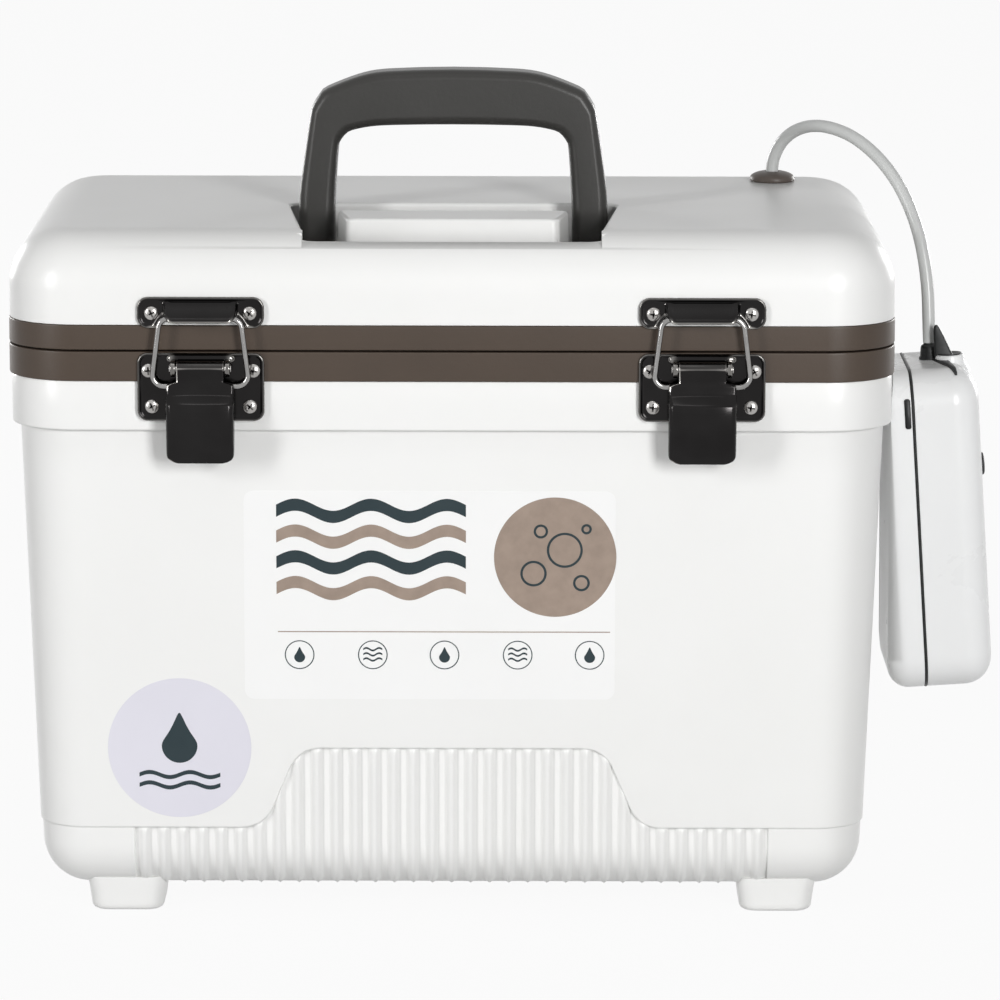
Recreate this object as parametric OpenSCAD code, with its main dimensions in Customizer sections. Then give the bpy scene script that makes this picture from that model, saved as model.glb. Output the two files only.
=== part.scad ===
// Live-bait cooler box with a clip-on air pump.
// Origin: on the floor, centred between the four feet. +X towards the pump, -Y the front, +Z up.
// Millimetres and degrees.

/* [Box] */
// Width over the coloured bands
box_w = 370; // [340:1:420]
// Depth over the coloured bands
box_d = 225; // [210:1:260]
// Corner radius of the bands, seen from above
corner_r = 30; // [26:1:36]
// Height of a foot
foot_h = 10.5; // [8:0.5:16]
// Width of a foot
foot_w = 31; // [24:1:40]
// Depth of a foot
foot_d = 34; // [24:1:40]
// From the side of the box to the middle of a foot
foot_in_x = 47.5; // [44:0.5:60]
// From the front of the box to the middle of a foot
foot_in_y = 38; // [36:1:50]
// Height of the tapered tub body, without its collar
body_h = 199.5; // [180:0.5:220]
// Height of the straight collar above the step
collar_h = 20.7; // [19:0.1:24]
// Height of the lower band
band_low_h = 12.8; // [12:0.1:16]
// Height of the upper band
band_up_h = 10.7; // [9:0.1:14]
// Open seam between the two bands
seam_gap = 0.6; // [0.4:0.1:1]
// Taper of the tub body on each side
draft = 2.1; // [1:0.1:3]
// Step from the band in to the tub body
body_in = 4.3; // [3.5:0.1:6]
// Rounding under the tub
bottom_r = 21; // [18:1:24]
// Wall of the outer shells
shell_t = 2.5; // [2:0.1:3.5]
// Wall of the inner liner
liner_t = 2.2; // [1.8:0.1:3]
// Shell, foam and liner together
wall_t = 14.5; // [13:0.5:18]
// Clearance between pieces that don't touch
gap = 0.3; // [0.2:0.05:0.4]

/* [Ribbed panel] */
// Height of the crease above the underside
crease_h = 28.5; // [24:0.5:34]
// Step in the wall at the crease
crease_in = 0.8; // [0.5:0.1:1.2]
// Number of upright ribs
rib_n = 33; // [21:2:33]
// Width of one rib
rib_w = 8.08; // [7:0.01:8.5]
// Depth of the grooves between ribs
rib_d = 1.6; // [1:0.1:2]
// Height of the raised middle part of the ribs above the crease
block_h = 34.5; // [28:0.5:50]
// Width of the flat top of the raised part
block_w = 110; // [90:1:130]
// Radius of the two bends on each side of the raised part
block_r = 14; // [10:0.5:16]
// Slope of the raised part's sides
block_deg = 67; // [55:1:75]

/* [Lid] */
// Height of the white lid above its band
lid_h = 37.7; // [36:0.1:44]
// Rounding along the top of the lid
lid_r = 23.8; // [18:0.1:25]
// Depth of the handle recess
recess_h = 23.4; // [23:0.1:24]
// Half width of the recess at its back
recess_back_x = 70; // [69:0.5:72]
// Half width of the recess at its front
recess_front_x = 62.6; // [60:0.1:64]
// From the handle's axis back to the rear wall of the recess
recess_behind = 11; // [10.8:0.1:14]
// From the handle's axis to the front wall of the recess
recess_ahead = 79; // [77:0.5:80]
// Half width of the island at its back
island_back_x = 48.7; // [46:0.1:49]
// Half width of the island at its front
island_front_x = 45; // [43:0.1:46]
// From the handle's axis to the back of the island
island_near = 13; // [12:0.5:18]
// From the handle's axis to the front of the island
island_far = 42; // [38:0.5:42.5]
// Depth that the lid's inner plate reaches into the tub
plug_h = 6; // [4:0.5:9]

/* [Handle] */
// From the middle of the box forward to the handle's axis
handle_y = 18; // [16:0.5:20]
// Height of the handle's axis under the lid's top
handle_drop = 11.4; // [11:0.1:12]
// From the axis to the top of the grip
handle_h = 70.8; // [66:0.1:71]
// Half width of the handle across its legs
handle_x = 65.8; // [64:0.1:66.5]
// Width of a leg
leg_w = 15.2; // [13:0.1:15.4]
// Thickness of the handle from front to back
handle_t = 20; // [16:0.5:20.5]
// Height of the grip
grip_h = 23.6; // [20:0.1:25]
// Radius of the handle's pivot pins
pivot_r = 3; // [2.5:0.1:4]

/* [Latches] */
// From the middle of the box to each latch
latch_x = 103.5; // [90:0.5:115]
// Width of the latch plates
plate_w = 52.5; // [50:0.5:58]
// Height of the upper plate
keeper_h = 14.4; // [13.5:0.1:18]
// Height of the upper plate's lower edge above the seam
keeper_up = 8.3; // [8:0.1:9]
// Height of the lower plate
base_h = 29; // [28.5:0.5:32]
// Thickness of the latch plates
plate_t = 1.2; // [1:0.1:1.5]
// Height of the lever's axis under the seam
lever_drop = 6.5; // [6.2:0.1:7]
// From the plate's face to the lever's axis
lever_out = 4.4; // [4.3:0.1:5]
// From the lever's axis to its tip
lever_len = 39; // [34:0.5:46]
// Width of the lever's thumb pad
pad_w = 28; // [26:0.1:28.2]
// Width of the lever's neck
neck_w = 19.6; // [17:0.1:20]
// Sheet of the lever
lever_t = 1.4; // [1.1:0.1:1.6]
// From the lever's axis down to the bail's axis
bail_crank = 7.3; // [7:0.1:7.6]
// From the bail's axis up to its bar
bail_len = 28.2; // [28:0.1:28.6]
// Radius of the bail's wire
wire_r = 1.15; // [1:0.05:1.3]
// Radius of the lever's pin
lever_pin_r = 1.3; // [1.1:0.1:1.5]

/* [Hinges] */
// From the back of the bands to the lid's axis
hinge_out = 6; // [5.5:0.5:8]
// Width of a hinge
hinge_w = 40; // [34:1:50]
// Radius of a hinge knuckle
knuckle_r = 3.2; // [3:0.1:3.6]
// Radius of a hinge pin
hinge_pin_r = 1.5; // [1.2:0.1:1.8]
// Thickness of the hinge leaves
leaf_t = 1.5; // [1.2:0.1:2]

/* [Air pump] */
// Height of the pump
pump_h = 139; // [134:1:150]
// Depth of the pump from front to back
pump_d = 75; // [73:1:82]
// Thickness of the pump behind its seam
pump_back = 16; // [15:0.5:16.5]
// Thickness of the pump outside its seam
pump_front = 29; // [26:0.5:34]
// Wall of the pump's case
case_t = 2.2; // [1.8:0.1:2.6]
// Thickness of the rubber seal in the seam
seal_t = 1.2; // [0.8:0.1:1.6]
// Lean of the pump away from the box
pump_lean = 3.8; // [3:0.1:4.5]
// From the side of the band to the pump's seam at its top
pump_out = 10.6; // [10.2:0.1:12]
// Height of the pump's top under the lid seam
pump_drop = 21; // [20:0.5:24]
// Radius of the switch button
button_r = 5; // [4:0.1:6]
// Travel of the switch button
button_travel = 2; // [1.5:0.1:2.2]
// Radius of a battery cell
cell_r = 16.5; // [14:0.1:16.6]
// Height in the pump that the works above the cells and the floor under them take
works_h = 78; // [77.5:0.5:89]

/* [Air line] */
// Outer radius of the air hose
hose_r = 2.75; // [2.5:0.05:3]
// Radius of the rubber grommet's flange
grommet_r = 10; // [9:0.5:12]
// Height of the grommet's flange
grommet_h = 4.6; // [3.5:0.1:6]
// Length of the air stone
stone_len = 36; // [25:1:45]
// Radius of the air stone
stone_r = 7; // [6:0.5:8]

/* [Screws] */
// Radius of a screw's shank
screw_r = 1.3; // [1:0.1:1.5]
// Radius of a screw's head
head_r = 2.7; // [2.3:0.1:3]
// Height of a screw's head
head_h = 1.4; // [1:0.1:2]
// Length of a screw's shank
screw_len = 10; // [8:0.5:12]

/* [Hidden] */
$fn = 48;

eps = 0.01;
// Levels
step_z = foot_h + body_h;
band_z = step_z + collar_h;
seam_z = band_z + band_low_h;
lid_z = seam_z + band_up_h;
top_z = lid_z + lid_h;
// The white lid and the collar lie this far inside the bands
lid_in = 0.3;
collar_in = 1;
front_y = -box_d / 2;
// From the outside of the bands in to the edge of the liner's flange, and its thickness
rim_in = 12;
flange_t = 3;
foam_top = band_z - gap;
// The lid's inner plate, and its plug that reaches into the tub
plate_top = seam_z + 6;
inner_t = 2.5;
plug_in = 22;
// The bands' width where the lid's band reaches over the inner plate
ledge = 4;
// The gasket's ring, and the thinner part of it that is squeezed on the liner's flange
gasket_out = 14;
gasket_in = 21;
bead_out = 10;
bead_in = 16;
bead_t = 1.2;
// Handle
axis_z = top_z - handle_drop;
recess_z = top_z - recess_h;
// Lid hinge axis, and the screws of its leaves
hinge_y = box_d / 2 + hinge_out;
leaf_low_z = band_z - 4.7;
leaf_up_z = lid_z + 4.3;
leaf_in = 4.4;
leaf_low_end = 22;
leaf_up_end = 24;
knuckle_w = hinge_w / 2;
hinge_screw_x = hinge_w * 0.34;
// Latch
plate_y = front_y;
face_y = plate_y - plate_t;
lever_y = face_y - lever_out;
lever_z = seam_z - lever_drop;
bail_z = lever_z - bail_crank;
ear_in = neck_w / 2 + 0.5;
ear_t = 1.9;
ear_r = 3.4;
bail_top_x = 15;
bail_low_x = 20.6;
strap_x = bail_low_x - 1.2;
// Screws of the latch plates, from the middle of a latch and from the plates' edges
plate_screw_x = plate_w / 2 - 6;
ear_screw_x = plate_w / 2 - 4.6;
low_screw_z = seam_z - base_h + 6;
ear_screw_z = seam_z - 8;
keeper_screw_z = seam_z + keeper_up + keeper_h / 2 + 0.4;
// Grommet and hose
hose_x = 140.7;
hose_y = 74;
// The air hose: outside from the grommet over to the pump, inside from the grommet down to the stone
HOSE_OUT = [
  [140.7, 74, 294], [140.7, 74, 298], [141.6, 73.2, 303], [144.3, 71, 309], [148.6, 67, 314],
  [154.2, 61.5, 317.3], [160.5, 55, 318.6], [167.5, 48, 317.8], [174.5, 41, 315.2], [181.3, 34, 310.6],
  [187.6, 27, 304.4], [193.2, 20.8, 296.6], [197.8, 15.4, 287.2], [201.4, 10.8, 276.6], [203.8, 7.4, 265],
  [205.2, 4.8, 253], [205.7, 3.4, 241.5], [205.9, 3, 235.3], [206.2, 3, 230.4]
];
HOSE_IN = [
  [140.7, 74, 294], [140.7, 74, 270], [140.7, 74, 240], [140.7, 74, 210], [140.7, 74, 180], [140.7, 74, 150],
  [140.7, 74, 120], [140.7, 74, 95], [140.7, 74, 75], [140.7, 73.2, 62], [140.7, 70.5, 52], [140.7, 65, 43],
  [140.7, 57.5, 36.8], [140.7, 49, 33.4], [140.7, 40, 32.3], [140.7, 32, 32.3]
];

// ---- shapes that several pieces use ----

// Points along an arc
function arc(c, r, a0, a1, n = 8) =
  [for (i = [0:n]) let (a = a0 + (a1 - a0) * i / n) c + r * [cos(a), sin(a)]];

// Rounded rectangle
module plan(w, d, r) {
  polygon(concat(
    arc([w / 2 - r, d / 2 - r], r, 0, 90), arc([r - w / 2, d / 2 - r], r, 90, 180),
    arc([r - w / 2, r - d / 2], r, 180, 270), arc([w / 2 - r, r - d / 2], r, 270, 360)
  ));
}

// Rounded block whose top edge is rounded too
module loaf(w, d, h, rc, re) {
  profile = concat([[0, 0], [rc, 0]], arc([rc - re, h - re], re, 0, 90), [[0, h]]);
  cw = w - 2 * rc;
  cd = d - 2 * rc;
  translate([-cw / 2, -cd / 2, 0]) cube([cw, cd, h]);
  for (s = [0, 1]) rotate([0, 0, 180 * s]) {
    translate([cw / 2, cd / 2, 0]) rotate([90, 0, 0]) linear_extrude(cd) polygon(profile);
    translate([-cw / 2, cd / 2, 0]) rotate([90, 0, 90]) linear_extrude(cw) polygon(profile);
    translate([cw / 2, cd / 2, 0]) rotate_extrude(angle = 90) polygon(profile);
    translate([-cw / 2, cd / 2, 0]) rotate([0, 0, 90]) rotate_extrude(angle = 90) polygon(profile);
  }
}

// Cylinder along +Y, starting at y = 0
module along_y(r, len) {
  rotate([-90, 0, 0]) cylinder(r = r, h = len);
}

// Cylinder along X, centred on x = 0
module along_x(r, len) {
  rotate([0, 90, 0]) cylinder(r = r, h = len, center = true);
}

// Half width of the tapered block at a height, from the half width at its step
function taper(half_top, z) = half_top - (step_z - z) * tan(draft);

// The tapered tub body with its rounded bottom, drawn in by an inset and cut off at a height
module body_block(inset, top) {
  hx = box_w / 2 - body_in;
  hy = box_d / 2 - body_in;
  ball_z = foot_h + bottom_r;
  ball_in = bottom_r / cos(draft);
  hull() {
    translate([0, 0, top - 0.5]) linear_extrude(0.5)
      plan(2 * (taper(hx, top) - inset), 2 * (taper(hy, top) - inset), bottom_r + 6 - inset / 2);
    for (x = [-1, 1], y = [-1, 1])
      translate([x * (taper(hx, ball_z) - ball_in), y * (taper(hy, ball_z) - ball_in), ball_z])
        sphere(r = bottom_r - inset, $fn = 32);
  }
}

// Swept tube of a cord, with straight flat ends
function unit(v) = v / norm(v);
function tangent(p, i) = unit(i == 0 ? p[1] - p[0] : i == len(p) - 1 ? p[i] - p[i - 1] : p[i + 1] - p[i - 1]);
function ring(c, t, side, r, n) = let (u = unit(side - (side * t) * t), v = cross(t, u))
  [for (k = [0:n - 1]) c + r * (cos(360 * k / n) * u + sin(360 * k / n) * v)];
module tube(p, r, side, n = 10) {
  m = len(p);
  points = [for (i = [0:m - 1]) each ring(p[i], tangent(p, i), side, r, n)];
  walls = [for (i = [0:m - 2], k = [0:n - 1]) let (a = i * n + k, b = i * n + (k + 1) % n)
    each [[a, b, b + n], [a, b + n, a + n]]];
  ends = [for (k = [1:n - 2]) each [[0, k + 1, k], [(m - 1) * n, (m - 1) * n + k, (m - 1) * n + k + 1]]];
  polyhedron(points = points, faces = [for (f = concat(walls, ends)) [f[2], f[1], f[0]]]);
}

// Pan-head screw along +Y with a cross slot, its head's underside at y = 0
module screw(len = screw_len) {
  difference() {
    union() {
      along_y(screw_r, len);
      translate([0, -head_h, 0]) along_y(head_r, head_h);
    }
    for (a = [0, 90]) rotate([0, a, 0]) translate([-head_r * 0.6, -head_h - 1, -head_r * 0.14])
      cube([head_r * 1.2, 1 + head_h * 0.55, head_r * 0.28]);
  }
}
module screw_hole(len = screw_len) {
  translate([0, -1, 0]) along_y(screw_r + 0.05, len + 1.5);
}

// ---- where the screws go ----
module at_base_screws() {
  for (s = [-1, 1], x = [-1, 1]) {
    translate([s * latch_x + x * plate_screw_x, 0, low_screw_z]) children();
    translate([s * latch_x + x * ear_screw_x, 0, ear_screw_z]) children();
  }
}
module at_keeper_screws() {
  for (s = [-1, 1], x = [-1, 1])
    translate([s * latch_x + x * plate_screw_x, 0, keeper_screw_z]) children();
}
module at_hinge_screws(z) {
  for (s = [-1, 1], x = [-1, 1])
    translate([s * latch_x + x * hinge_screw_x, 0, z]) children();
}
module at_bracket_screws() {
  for (y = [-1, 1])
    translate([box_w / 2 - collar_in, y * 18, band_z - collar_h / 2]) rotate([0, 0, 90]) children();
}

// ---- the tub ----

// The ribbed zone, seen from the front: a low band with a raised middle
function rib_outline() =
  let (
    half = rib_n * rib_w / 2,
    rise = block_h - 2 * block_r * (1 - cos(block_deg)),
    run = rise / tan(block_deg),
    x_top = block_w / 2,
    x_low = x_top + 2 * block_r * sin(block_deg) + run,
    z0 = foot_h + crease_h,
    side = concat(
      arc([x_low, z0 + block_r], block_r, 270, 270 - block_deg, 6),
      arc([x_top, z0 + block_h - block_r], block_r, 90 - block_deg, 90, 6)
    )
  )
  concat(
    [[half, foot_h - 5], [half, z0]], side,
    [for (i = [len(side) - 1:-1:0]) [-side[i][0], side[i][1]]],
    [[-half, z0], [-half, foot_h - 5]]
  );

// What is cut away between the ribs of the front or the back face
module rib_grooves() {
  bead_r = (rib_w * rib_w / 4 + rib_d * rib_d) / (2 * rib_d);
  top_y = box_d / 2 - body_in;
  difference() {
    translate([0, -top_y, step_z]) rotate([draft, 0, 0]) translate([0, rib_d + 0.4, -step_z])
      rotate([90, 0, 0]) linear_extrude(rib_d + 3) polygon(rib_outline());
    translate([0, -top_y, step_z]) rotate([draft, 0, 0])
      for (i = [0:rib_n - 1])
        translate([(i - (rib_n - 1) / 2) * rib_w, bead_r + 0.1, -step_z - 5])
          cylinder(r = bead_r, h = step_z);
  }
}

module tub_shell() color("white") difference() {
  union() {
    body_block(crease_in, step_z);
    intersection() {
      body_block(0, step_z);
      union() {
        translate([-box_w, -box_d, foot_h + crease_h]) cube([2 * box_w, 2 * box_d, body_h]);
        translate([-rib_n * rib_w / 2, -box_d, 0]) cube([rib_n * rib_w, 2 * box_d, foot_h + crease_h + 1]);
      }
    }
    translate([0, 0, step_z]) linear_extrude(collar_h)
      plan(box_w - 2 * collar_in, box_d - 2 * collar_in, corner_r - collar_in);
    for (x = [-1, 1], y = [-1, 1])
      translate([x * (box_w / 2 - foot_in_x), y * (box_d / 2 - foot_in_y), 0])
        linear_extrude(foot_h + bottom_r * 0.4) plan(foot_w, foot_d, 7);
  }
  body_block(shell_t, band_z + 5);
  rib_grooves();
  mirror([0, 1, 0]) rib_grooves();
  translate([0, front_y, 0]) at_base_screws() screw_hole();
  translate([0, -front_y, 0]) at_hinge_screws(leaf_low_z) mirror([0, 1, 0]) screw_hole();
  at_bracket_screws() screw_hole();
}

module tub_foam() color("lightyellow") difference() {
  body_block(shell_t + gap, foam_top);
  body_block(wall_t - liner_t - gap, foam_top + 5);
  translate([0, front_y, 0]) at_base_screws() translate([0, -1, 0]) along_y(screw_r + 1, screw_len + 3);
  translate([0, -front_y, 0]) at_hinge_screws(leaf_low_z) mirror([0, 1, 0])
    along_y(screw_r + 1, screw_len + 3);
  at_bracket_screws() along_y(screw_r + 1, screw_len + 3);
}

module tub_liner() color("whitesmoke") difference() {
  union() {
    body_block(wall_t - liner_t, seam_z - seam_gap / 2 - eps);
    translate([0, 0, seam_z - seam_gap / 2 - flange_t]) linear_extrude(flange_t)
      plan(box_w - 2 * rim_in - 2 * gap, box_d - 2 * rim_in - 2 * gap, corner_r - rim_in);
  }
  body_block(wall_t, seam_z + 5);
}

// Ring of the lower band, rebated for the liner's flange
module tub_band() color([0.35, 0.30, 0.26]) difference() {
  translate([0, 0, band_z]) linear_extrude(band_low_h - seam_gap / 2) plan(box_w, box_d, corner_r);
  body_block(wall_t - liner_t - gap, seam_z + 5);
  translate([0, 0, seam_z - seam_gap / 2 - flange_t]) linear_extrude(flange_t + 2)
    plan(box_w - 2 * rim_in, box_d - 2 * rim_in, corner_r - rim_in + gap);
  translate([0, front_y, 0]) at_base_screws() screw_hole();
}

// ---- the lid ----

// The handle's recess, seen from above, grown by a wall
module recess_plan(grow) {
  y0 = -handle_y + recess_behind + grow;
  y1 = -handle_y - recess_ahead - grow;
  r = 7;
  polygon(concat(
    arc([recess_front_x + grow - r, y1 + r], r, 270, 360),
    arc([recess_back_x + grow - r, y0 - r], r, 0, 90),
    arc([-recess_back_x - grow + r, y0 - r], r, 90, 180),
    arc([-recess_front_x - grow + r, y1 + r], r, 180, 270)
  ));
}
module island_plan(grow) {
  y0 = -handle_y - island_near + grow;
  y1 = -handle_y - island_far - grow;
  polygon([
    [island_front_x + grow, y1], [island_back_x + grow, y0],
    [-island_back_x - grow, y0], [-island_front_x - grow, y1]
  ]);
}
// Flat lip in front of the recess, sloping a little forward
module lip_cut() {
  y_in = -handle_y - recess_ahead;
  translate([-recess_front_x + 0.5, 0, 0]) rotate([90, 0, 90]) linear_extrude(2 * recess_front_x - 1)
    polygon([[y_in + 6, top_z - 4.7], [y_in, top_z - 4.75], [y_in - 12, top_z - 7.6],
      [y_in - 12, top_z + 5], [y_in + 6, top_z + 5]]);
}

module lid_shell() color("white") difference() {
  translate([0, 0, lid_z]) loaf(box_w - 2 * lid_in, box_d - 2 * lid_in, lid_h, corner_r, lid_r);
  difference() {
    translate([0, 0, lid_z - 1]) loaf(box_w - 2 * lid_in - 2 * shell_t, box_d - 2 * lid_in - 2 * shell_t,
      lid_h + 1 - shell_t, corner_r - shell_t, lid_r - shell_t);
    translate([0, 0, recess_z - shell_t]) linear_extrude(recess_h + shell_t) recess_plan(shell_t);
    translate([-recess_front_x, -handle_y - recess_ahead - 15, top_z - 12])
      cube([2 * recess_front_x, 20, 12]);
  }
  difference() {
    translate([0, 0, recess_z]) linear_extrude(recess_h + 1) recess_plan(0);
    translate([0, 0, recess_z - 1]) linear_extrude(recess_h + 1) island_plan(0);
  }
  lip_cut();
  // hollow under the island
  translate([0, 0, recess_z - shell_t - 1]) linear_extrude(recess_h + 1) island_plan(-shell_t);
  translate([hose_x, hose_y, top_z - 10]) cylinder(r = grommet_r * 0.65, h = 20);
  translate([0, -handle_y, axis_z]) along_x(pivot_r + 0.05, 2 * (recess_back_x + shell_t + 1));
  translate([0, front_y, 0]) at_keeper_screws() screw_hole();
  translate([0, -front_y, 0]) at_hinge_screws(leaf_up_z) mirror([0, 1, 0]) screw_hole();
}

module lid_foam() color("lightyellow") difference() {
  translate([0, 0, plate_top + gap]) linear_extrude(top_z - shell_t - gap - plate_top - gap)
    plan(box_w - 2 * lid_r - 2 * gap, box_d - 2 * lid_r - 2 * gap, 12);
  translate([0, 0, recess_z - shell_t - gap]) linear_extrude(recess_h + 5) recess_plan(shell_t + gap);
  translate([-recess_front_x - 1, -box_d, top_z - 12 - gap])
    cube([2 * recess_front_x + 2, box_d - handle_y - recess_ahead + 6, 20]);
  translate([hose_x, hose_y, seam_z]) cylinder(r = grommet_r + 1.5, h = lid_h + 20);
}

module lid_liner() color("whitesmoke") difference() {
  union() {
    translate([0, 0, plate_top - inner_t]) linear_extrude(inner_t)
      plan(box_w - 2 * rim_in - 2 * gap, box_d - 2 * rim_in - 2 * gap, corner_r - rim_in);
    translate([0, 0, seam_z - plug_h]) linear_extrude(plate_top - 2 - seam_z + plug_h)
      plan(box_w - 2 * plug_in, box_d - 2 * plug_in, corner_r - rim_in);
  }
  translate([0, 0, seam_z - plug_h + liner_t]) linear_extrude(lid_h)
    plan(box_w - 2 * plug_in - 2 * liner_t, box_d - 2 * plug_in - 2 * liner_t,
      corner_r - rim_in - liner_t);
  translate([hose_x, hose_y, seam_z - 20]) cylinder(r = hose_r + 0.5, h = lid_h);
}

// Ring of the upper band, with a ledge over the inner plate's edge
module lid_band() color([0.35, 0.30, 0.26]) difference() {
  translate([0, 0, seam_z + seam_gap / 2]) linear_extrude(band_up_h - seam_gap / 2)
    plan(box_w, box_d, corner_r);
  translate([0, 0, seam_z - 5]) linear_extrude(plate_top - seam_z + 5)
    plan(box_w - 2 * rim_in, box_d - 2 * rim_in, corner_r - rim_in + gap);
  translate([0, 0, seam_z]) linear_extrude(band_up_h + 5)
    plan(box_w - 2 * rim_in - 2 * ledge, box_d - 2 * rim_in - 2 * ledge, corner_r - rim_in - ledge);
}

module lid_gasket() color("dimgray") difference() {
  translate([0, 0, seam_z]) linear_extrude(plate_top - inner_t - seam_z)
    plan(box_w - 2 * gasket_out, box_d - 2 * gasket_out, corner_r - rim_in - 1);
  translate([0, 0, seam_z - 5]) linear_extrude(lid_h)
    plan(box_w - 2 * gasket_in, box_d - 2 * gasket_in, corner_r - rim_in + 0.6);
  translate([0, 0, seam_z]) difference() {
    linear_extrude(bead_t) plan(box_w - 2 * bead_out, box_d - 2 * bead_out, corner_r - rim_in);
    translate([0, 0, -1]) linear_extrude(bead_t + 3)
      plan(box_w - 2 * bead_in, box_d - 2 * bead_in, corner_r - rim_in - 2);
  }
}

module hose_grommet() color([0.35, 0.31, 0.29]) translate([hose_x, hose_y, top_z]) difference() {
  rotate_extrude() polygon(concat(
    [[hose_r + 0.05, -shell_t - 2], [grommet_r * 0.85, -shell_t - 2], [grommet_r * 0.85, -shell_t],
      [grommet_r * 0.65 - 0.05, -shell_t], [grommet_r * 0.65 - 0.05, 0], [grommet_r - 0.8, 0]],
    arc([grommet_r - 1.6, 1.7], 1.6, -30, 60, 4),
    [[grommet_r * 0.62, grommet_h - 0.6], [hose_r + 1, grommet_h], [hose_r + 0.05, grommet_h - 0.6]]
  ));
}

// ---- the handle ----

// Front view of the handle about its axis, drawn in by e for the rounded edges
function handle_outline(e) =
  let (
    xo = handle_x - e, xi = handle_x - leg_w + e, top = handle_h - e, low = handle_h - grip_h + e,
    lean = 4.6, r_out = 17, r_in = 9,
    half = concat(
      [[xo, -30], [xo, handle_h * 0.3]],
      arc([xo - lean - r_out, top - 5.4 - r_out], r_out, 8, 62, 7),
      [[handle_x * 0.55, top - 1.4], [0, top]]
    ),
    inner = concat(
      [[0, low], [handle_x * 0.55, low - 0.9]],
      arc([xi - 1.6 - r_in, low - 2 - r_in], r_in, 75, 4, 6),
      [[xi, handle_h * 0.2], [xi, -30]]
    )
  )
  concat(half, inner);
module handle_half(e, t) {
  rotate([90, 0, 0]) linear_extrude(t, center = true) polygon(handle_outline(e));
}
module handle() color([0.22, 0.22, 0.21]) translate([0, -handle_y, axis_z]) difference() {
  intersection() {
    for (s = [0, 1]) mirror([s, 0, 0]) {
      handle_half(0, handle_t - 7);
      handle_half(1, handle_t - 3);
      handle_half(2.6, handle_t);
    }
    union() {
      along_x(handle_t / 2, 2 * handle_x + 2);
      translate([-handle_x - 1, -handle_t / 2, 0]) cube([2 * handle_x + 2, handle_t, handle_h + 5]);
    }
  }
  for (s = [-1, 1]) translate([s * (handle_x - 5), 0, 0]) along_x(pivot_r + 0.05, 12);
}

module handle_pins() color("gray")
  for (s = [-1, 1]) translate([s * (handle_x - 10 + recess_back_x + 1) / 2, -handle_y, axis_z])
    along_x(pivot_r, recess_back_x + 1 - handle_x + 10);

// ---- the latches ----

module pan_plate(w, h, r) {
  rotate([90, 0, 0]) {
    linear_extrude(plate_t) plan(w, h, r);
    translate([0, 0, plate_t - eps]) linear_extrude(0.5 + eps) difference() {
      plan(w - 1, h - 1, r - 0.5);
      plan(w - 3.4, h - 3.4, r - 1.7);
    }
  }
}

module keeper() color([0.12, 0.12, 0.12]) {
  z0 = seam_z + keeper_up;
  hood_out = lever_out + 4.2;
  hood_t = 1.2;
  hood = [[strap_x, z0 + 0.5], [strap_x + 2, z0 + 0.5], [strap_x + 2, z0 + 3.2], [13.4, z0 + 7.6],
    [-13.4, z0 + 7.6], [-strap_x - 2, z0 + 3.2], [-strap_x - 2, z0 + 0.5], [-strap_x, z0 + 0.5],
    [-strap_x, z0 + 1.6], [-12.6, z0 + 4.6], [12.6, z0 + 4.6], [strap_x, z0 + 1.6]];
  difference() {
    translate([0, plate_y, z0 + keeper_h / 2]) pan_plate(plate_w, keeper_h, 5);
    for (x = [-1, 1])
      translate([x * plate_screw_x, plate_y - 5, keeper_screw_z]) along_y(screw_r + 0.05, 10);
  }
  difference() {
    translate([0, face_y, 0]) rotate([90, 0, 0]) linear_extrude(hood_out) polygon(hood);
    translate([-strap_x, face_y - hood_out + hood_t, z0 - 1])
      cube([2 * strap_x, hood_out - hood_t + eps, keeper_h]);
  }
}

module latch_base() color([0.12, 0.12, 0.12]) {
  z1 = seam_z - seam_gap / 2;
  difference() {
    translate([0, plate_y, z1 - base_h / 2 + 0.3]) pan_plate(plate_w, base_h - 0.6, 4.5);
    for (x = [-1, 1]) {
      translate([x * plate_screw_x, plate_y - 5, low_screw_z]) along_y(screw_r + 0.05, 10);
      translate([x * ear_screw_x, plate_y - 5, ear_screw_z]) along_y(screw_r + 0.05, 10);
    }
  }
  // rounded ridge over the ears
  translate([0, face_y, z1 - 2.6]) intersection() {
    along_x(2.2, 28.6);
    translate([-20, -5, -5]) cube([40, 5, 10]);
  }
  // ears that hold the lever's pin
  difference() {
    for (x = [-1, 1]) translate([x * (ear_in + ear_t / 2), lever_y, lever_z]) {
      along_x(ear_r, ear_t);
      translate([-ear_t / 2, 0, -ear_r]) cube([ear_t, lever_out, 2 * ear_r]);
    }
    translate([0, lever_y, lever_z]) along_x(lever_pin_r + 0.02, 40);
  }
}

module lever_pins() color("silver")
  for (s = [-1, 1]) translate([s * latch_x, lever_y, lever_z]) {
    along_x(lever_pin_r, 2 * (ear_in + ear_t));
    for (x = [-1, 1]) translate([x * (ear_in + ear_t + 0.3), 0, 0]) along_x(lever_pin_r * 1.4, 0.6);
  }

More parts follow.
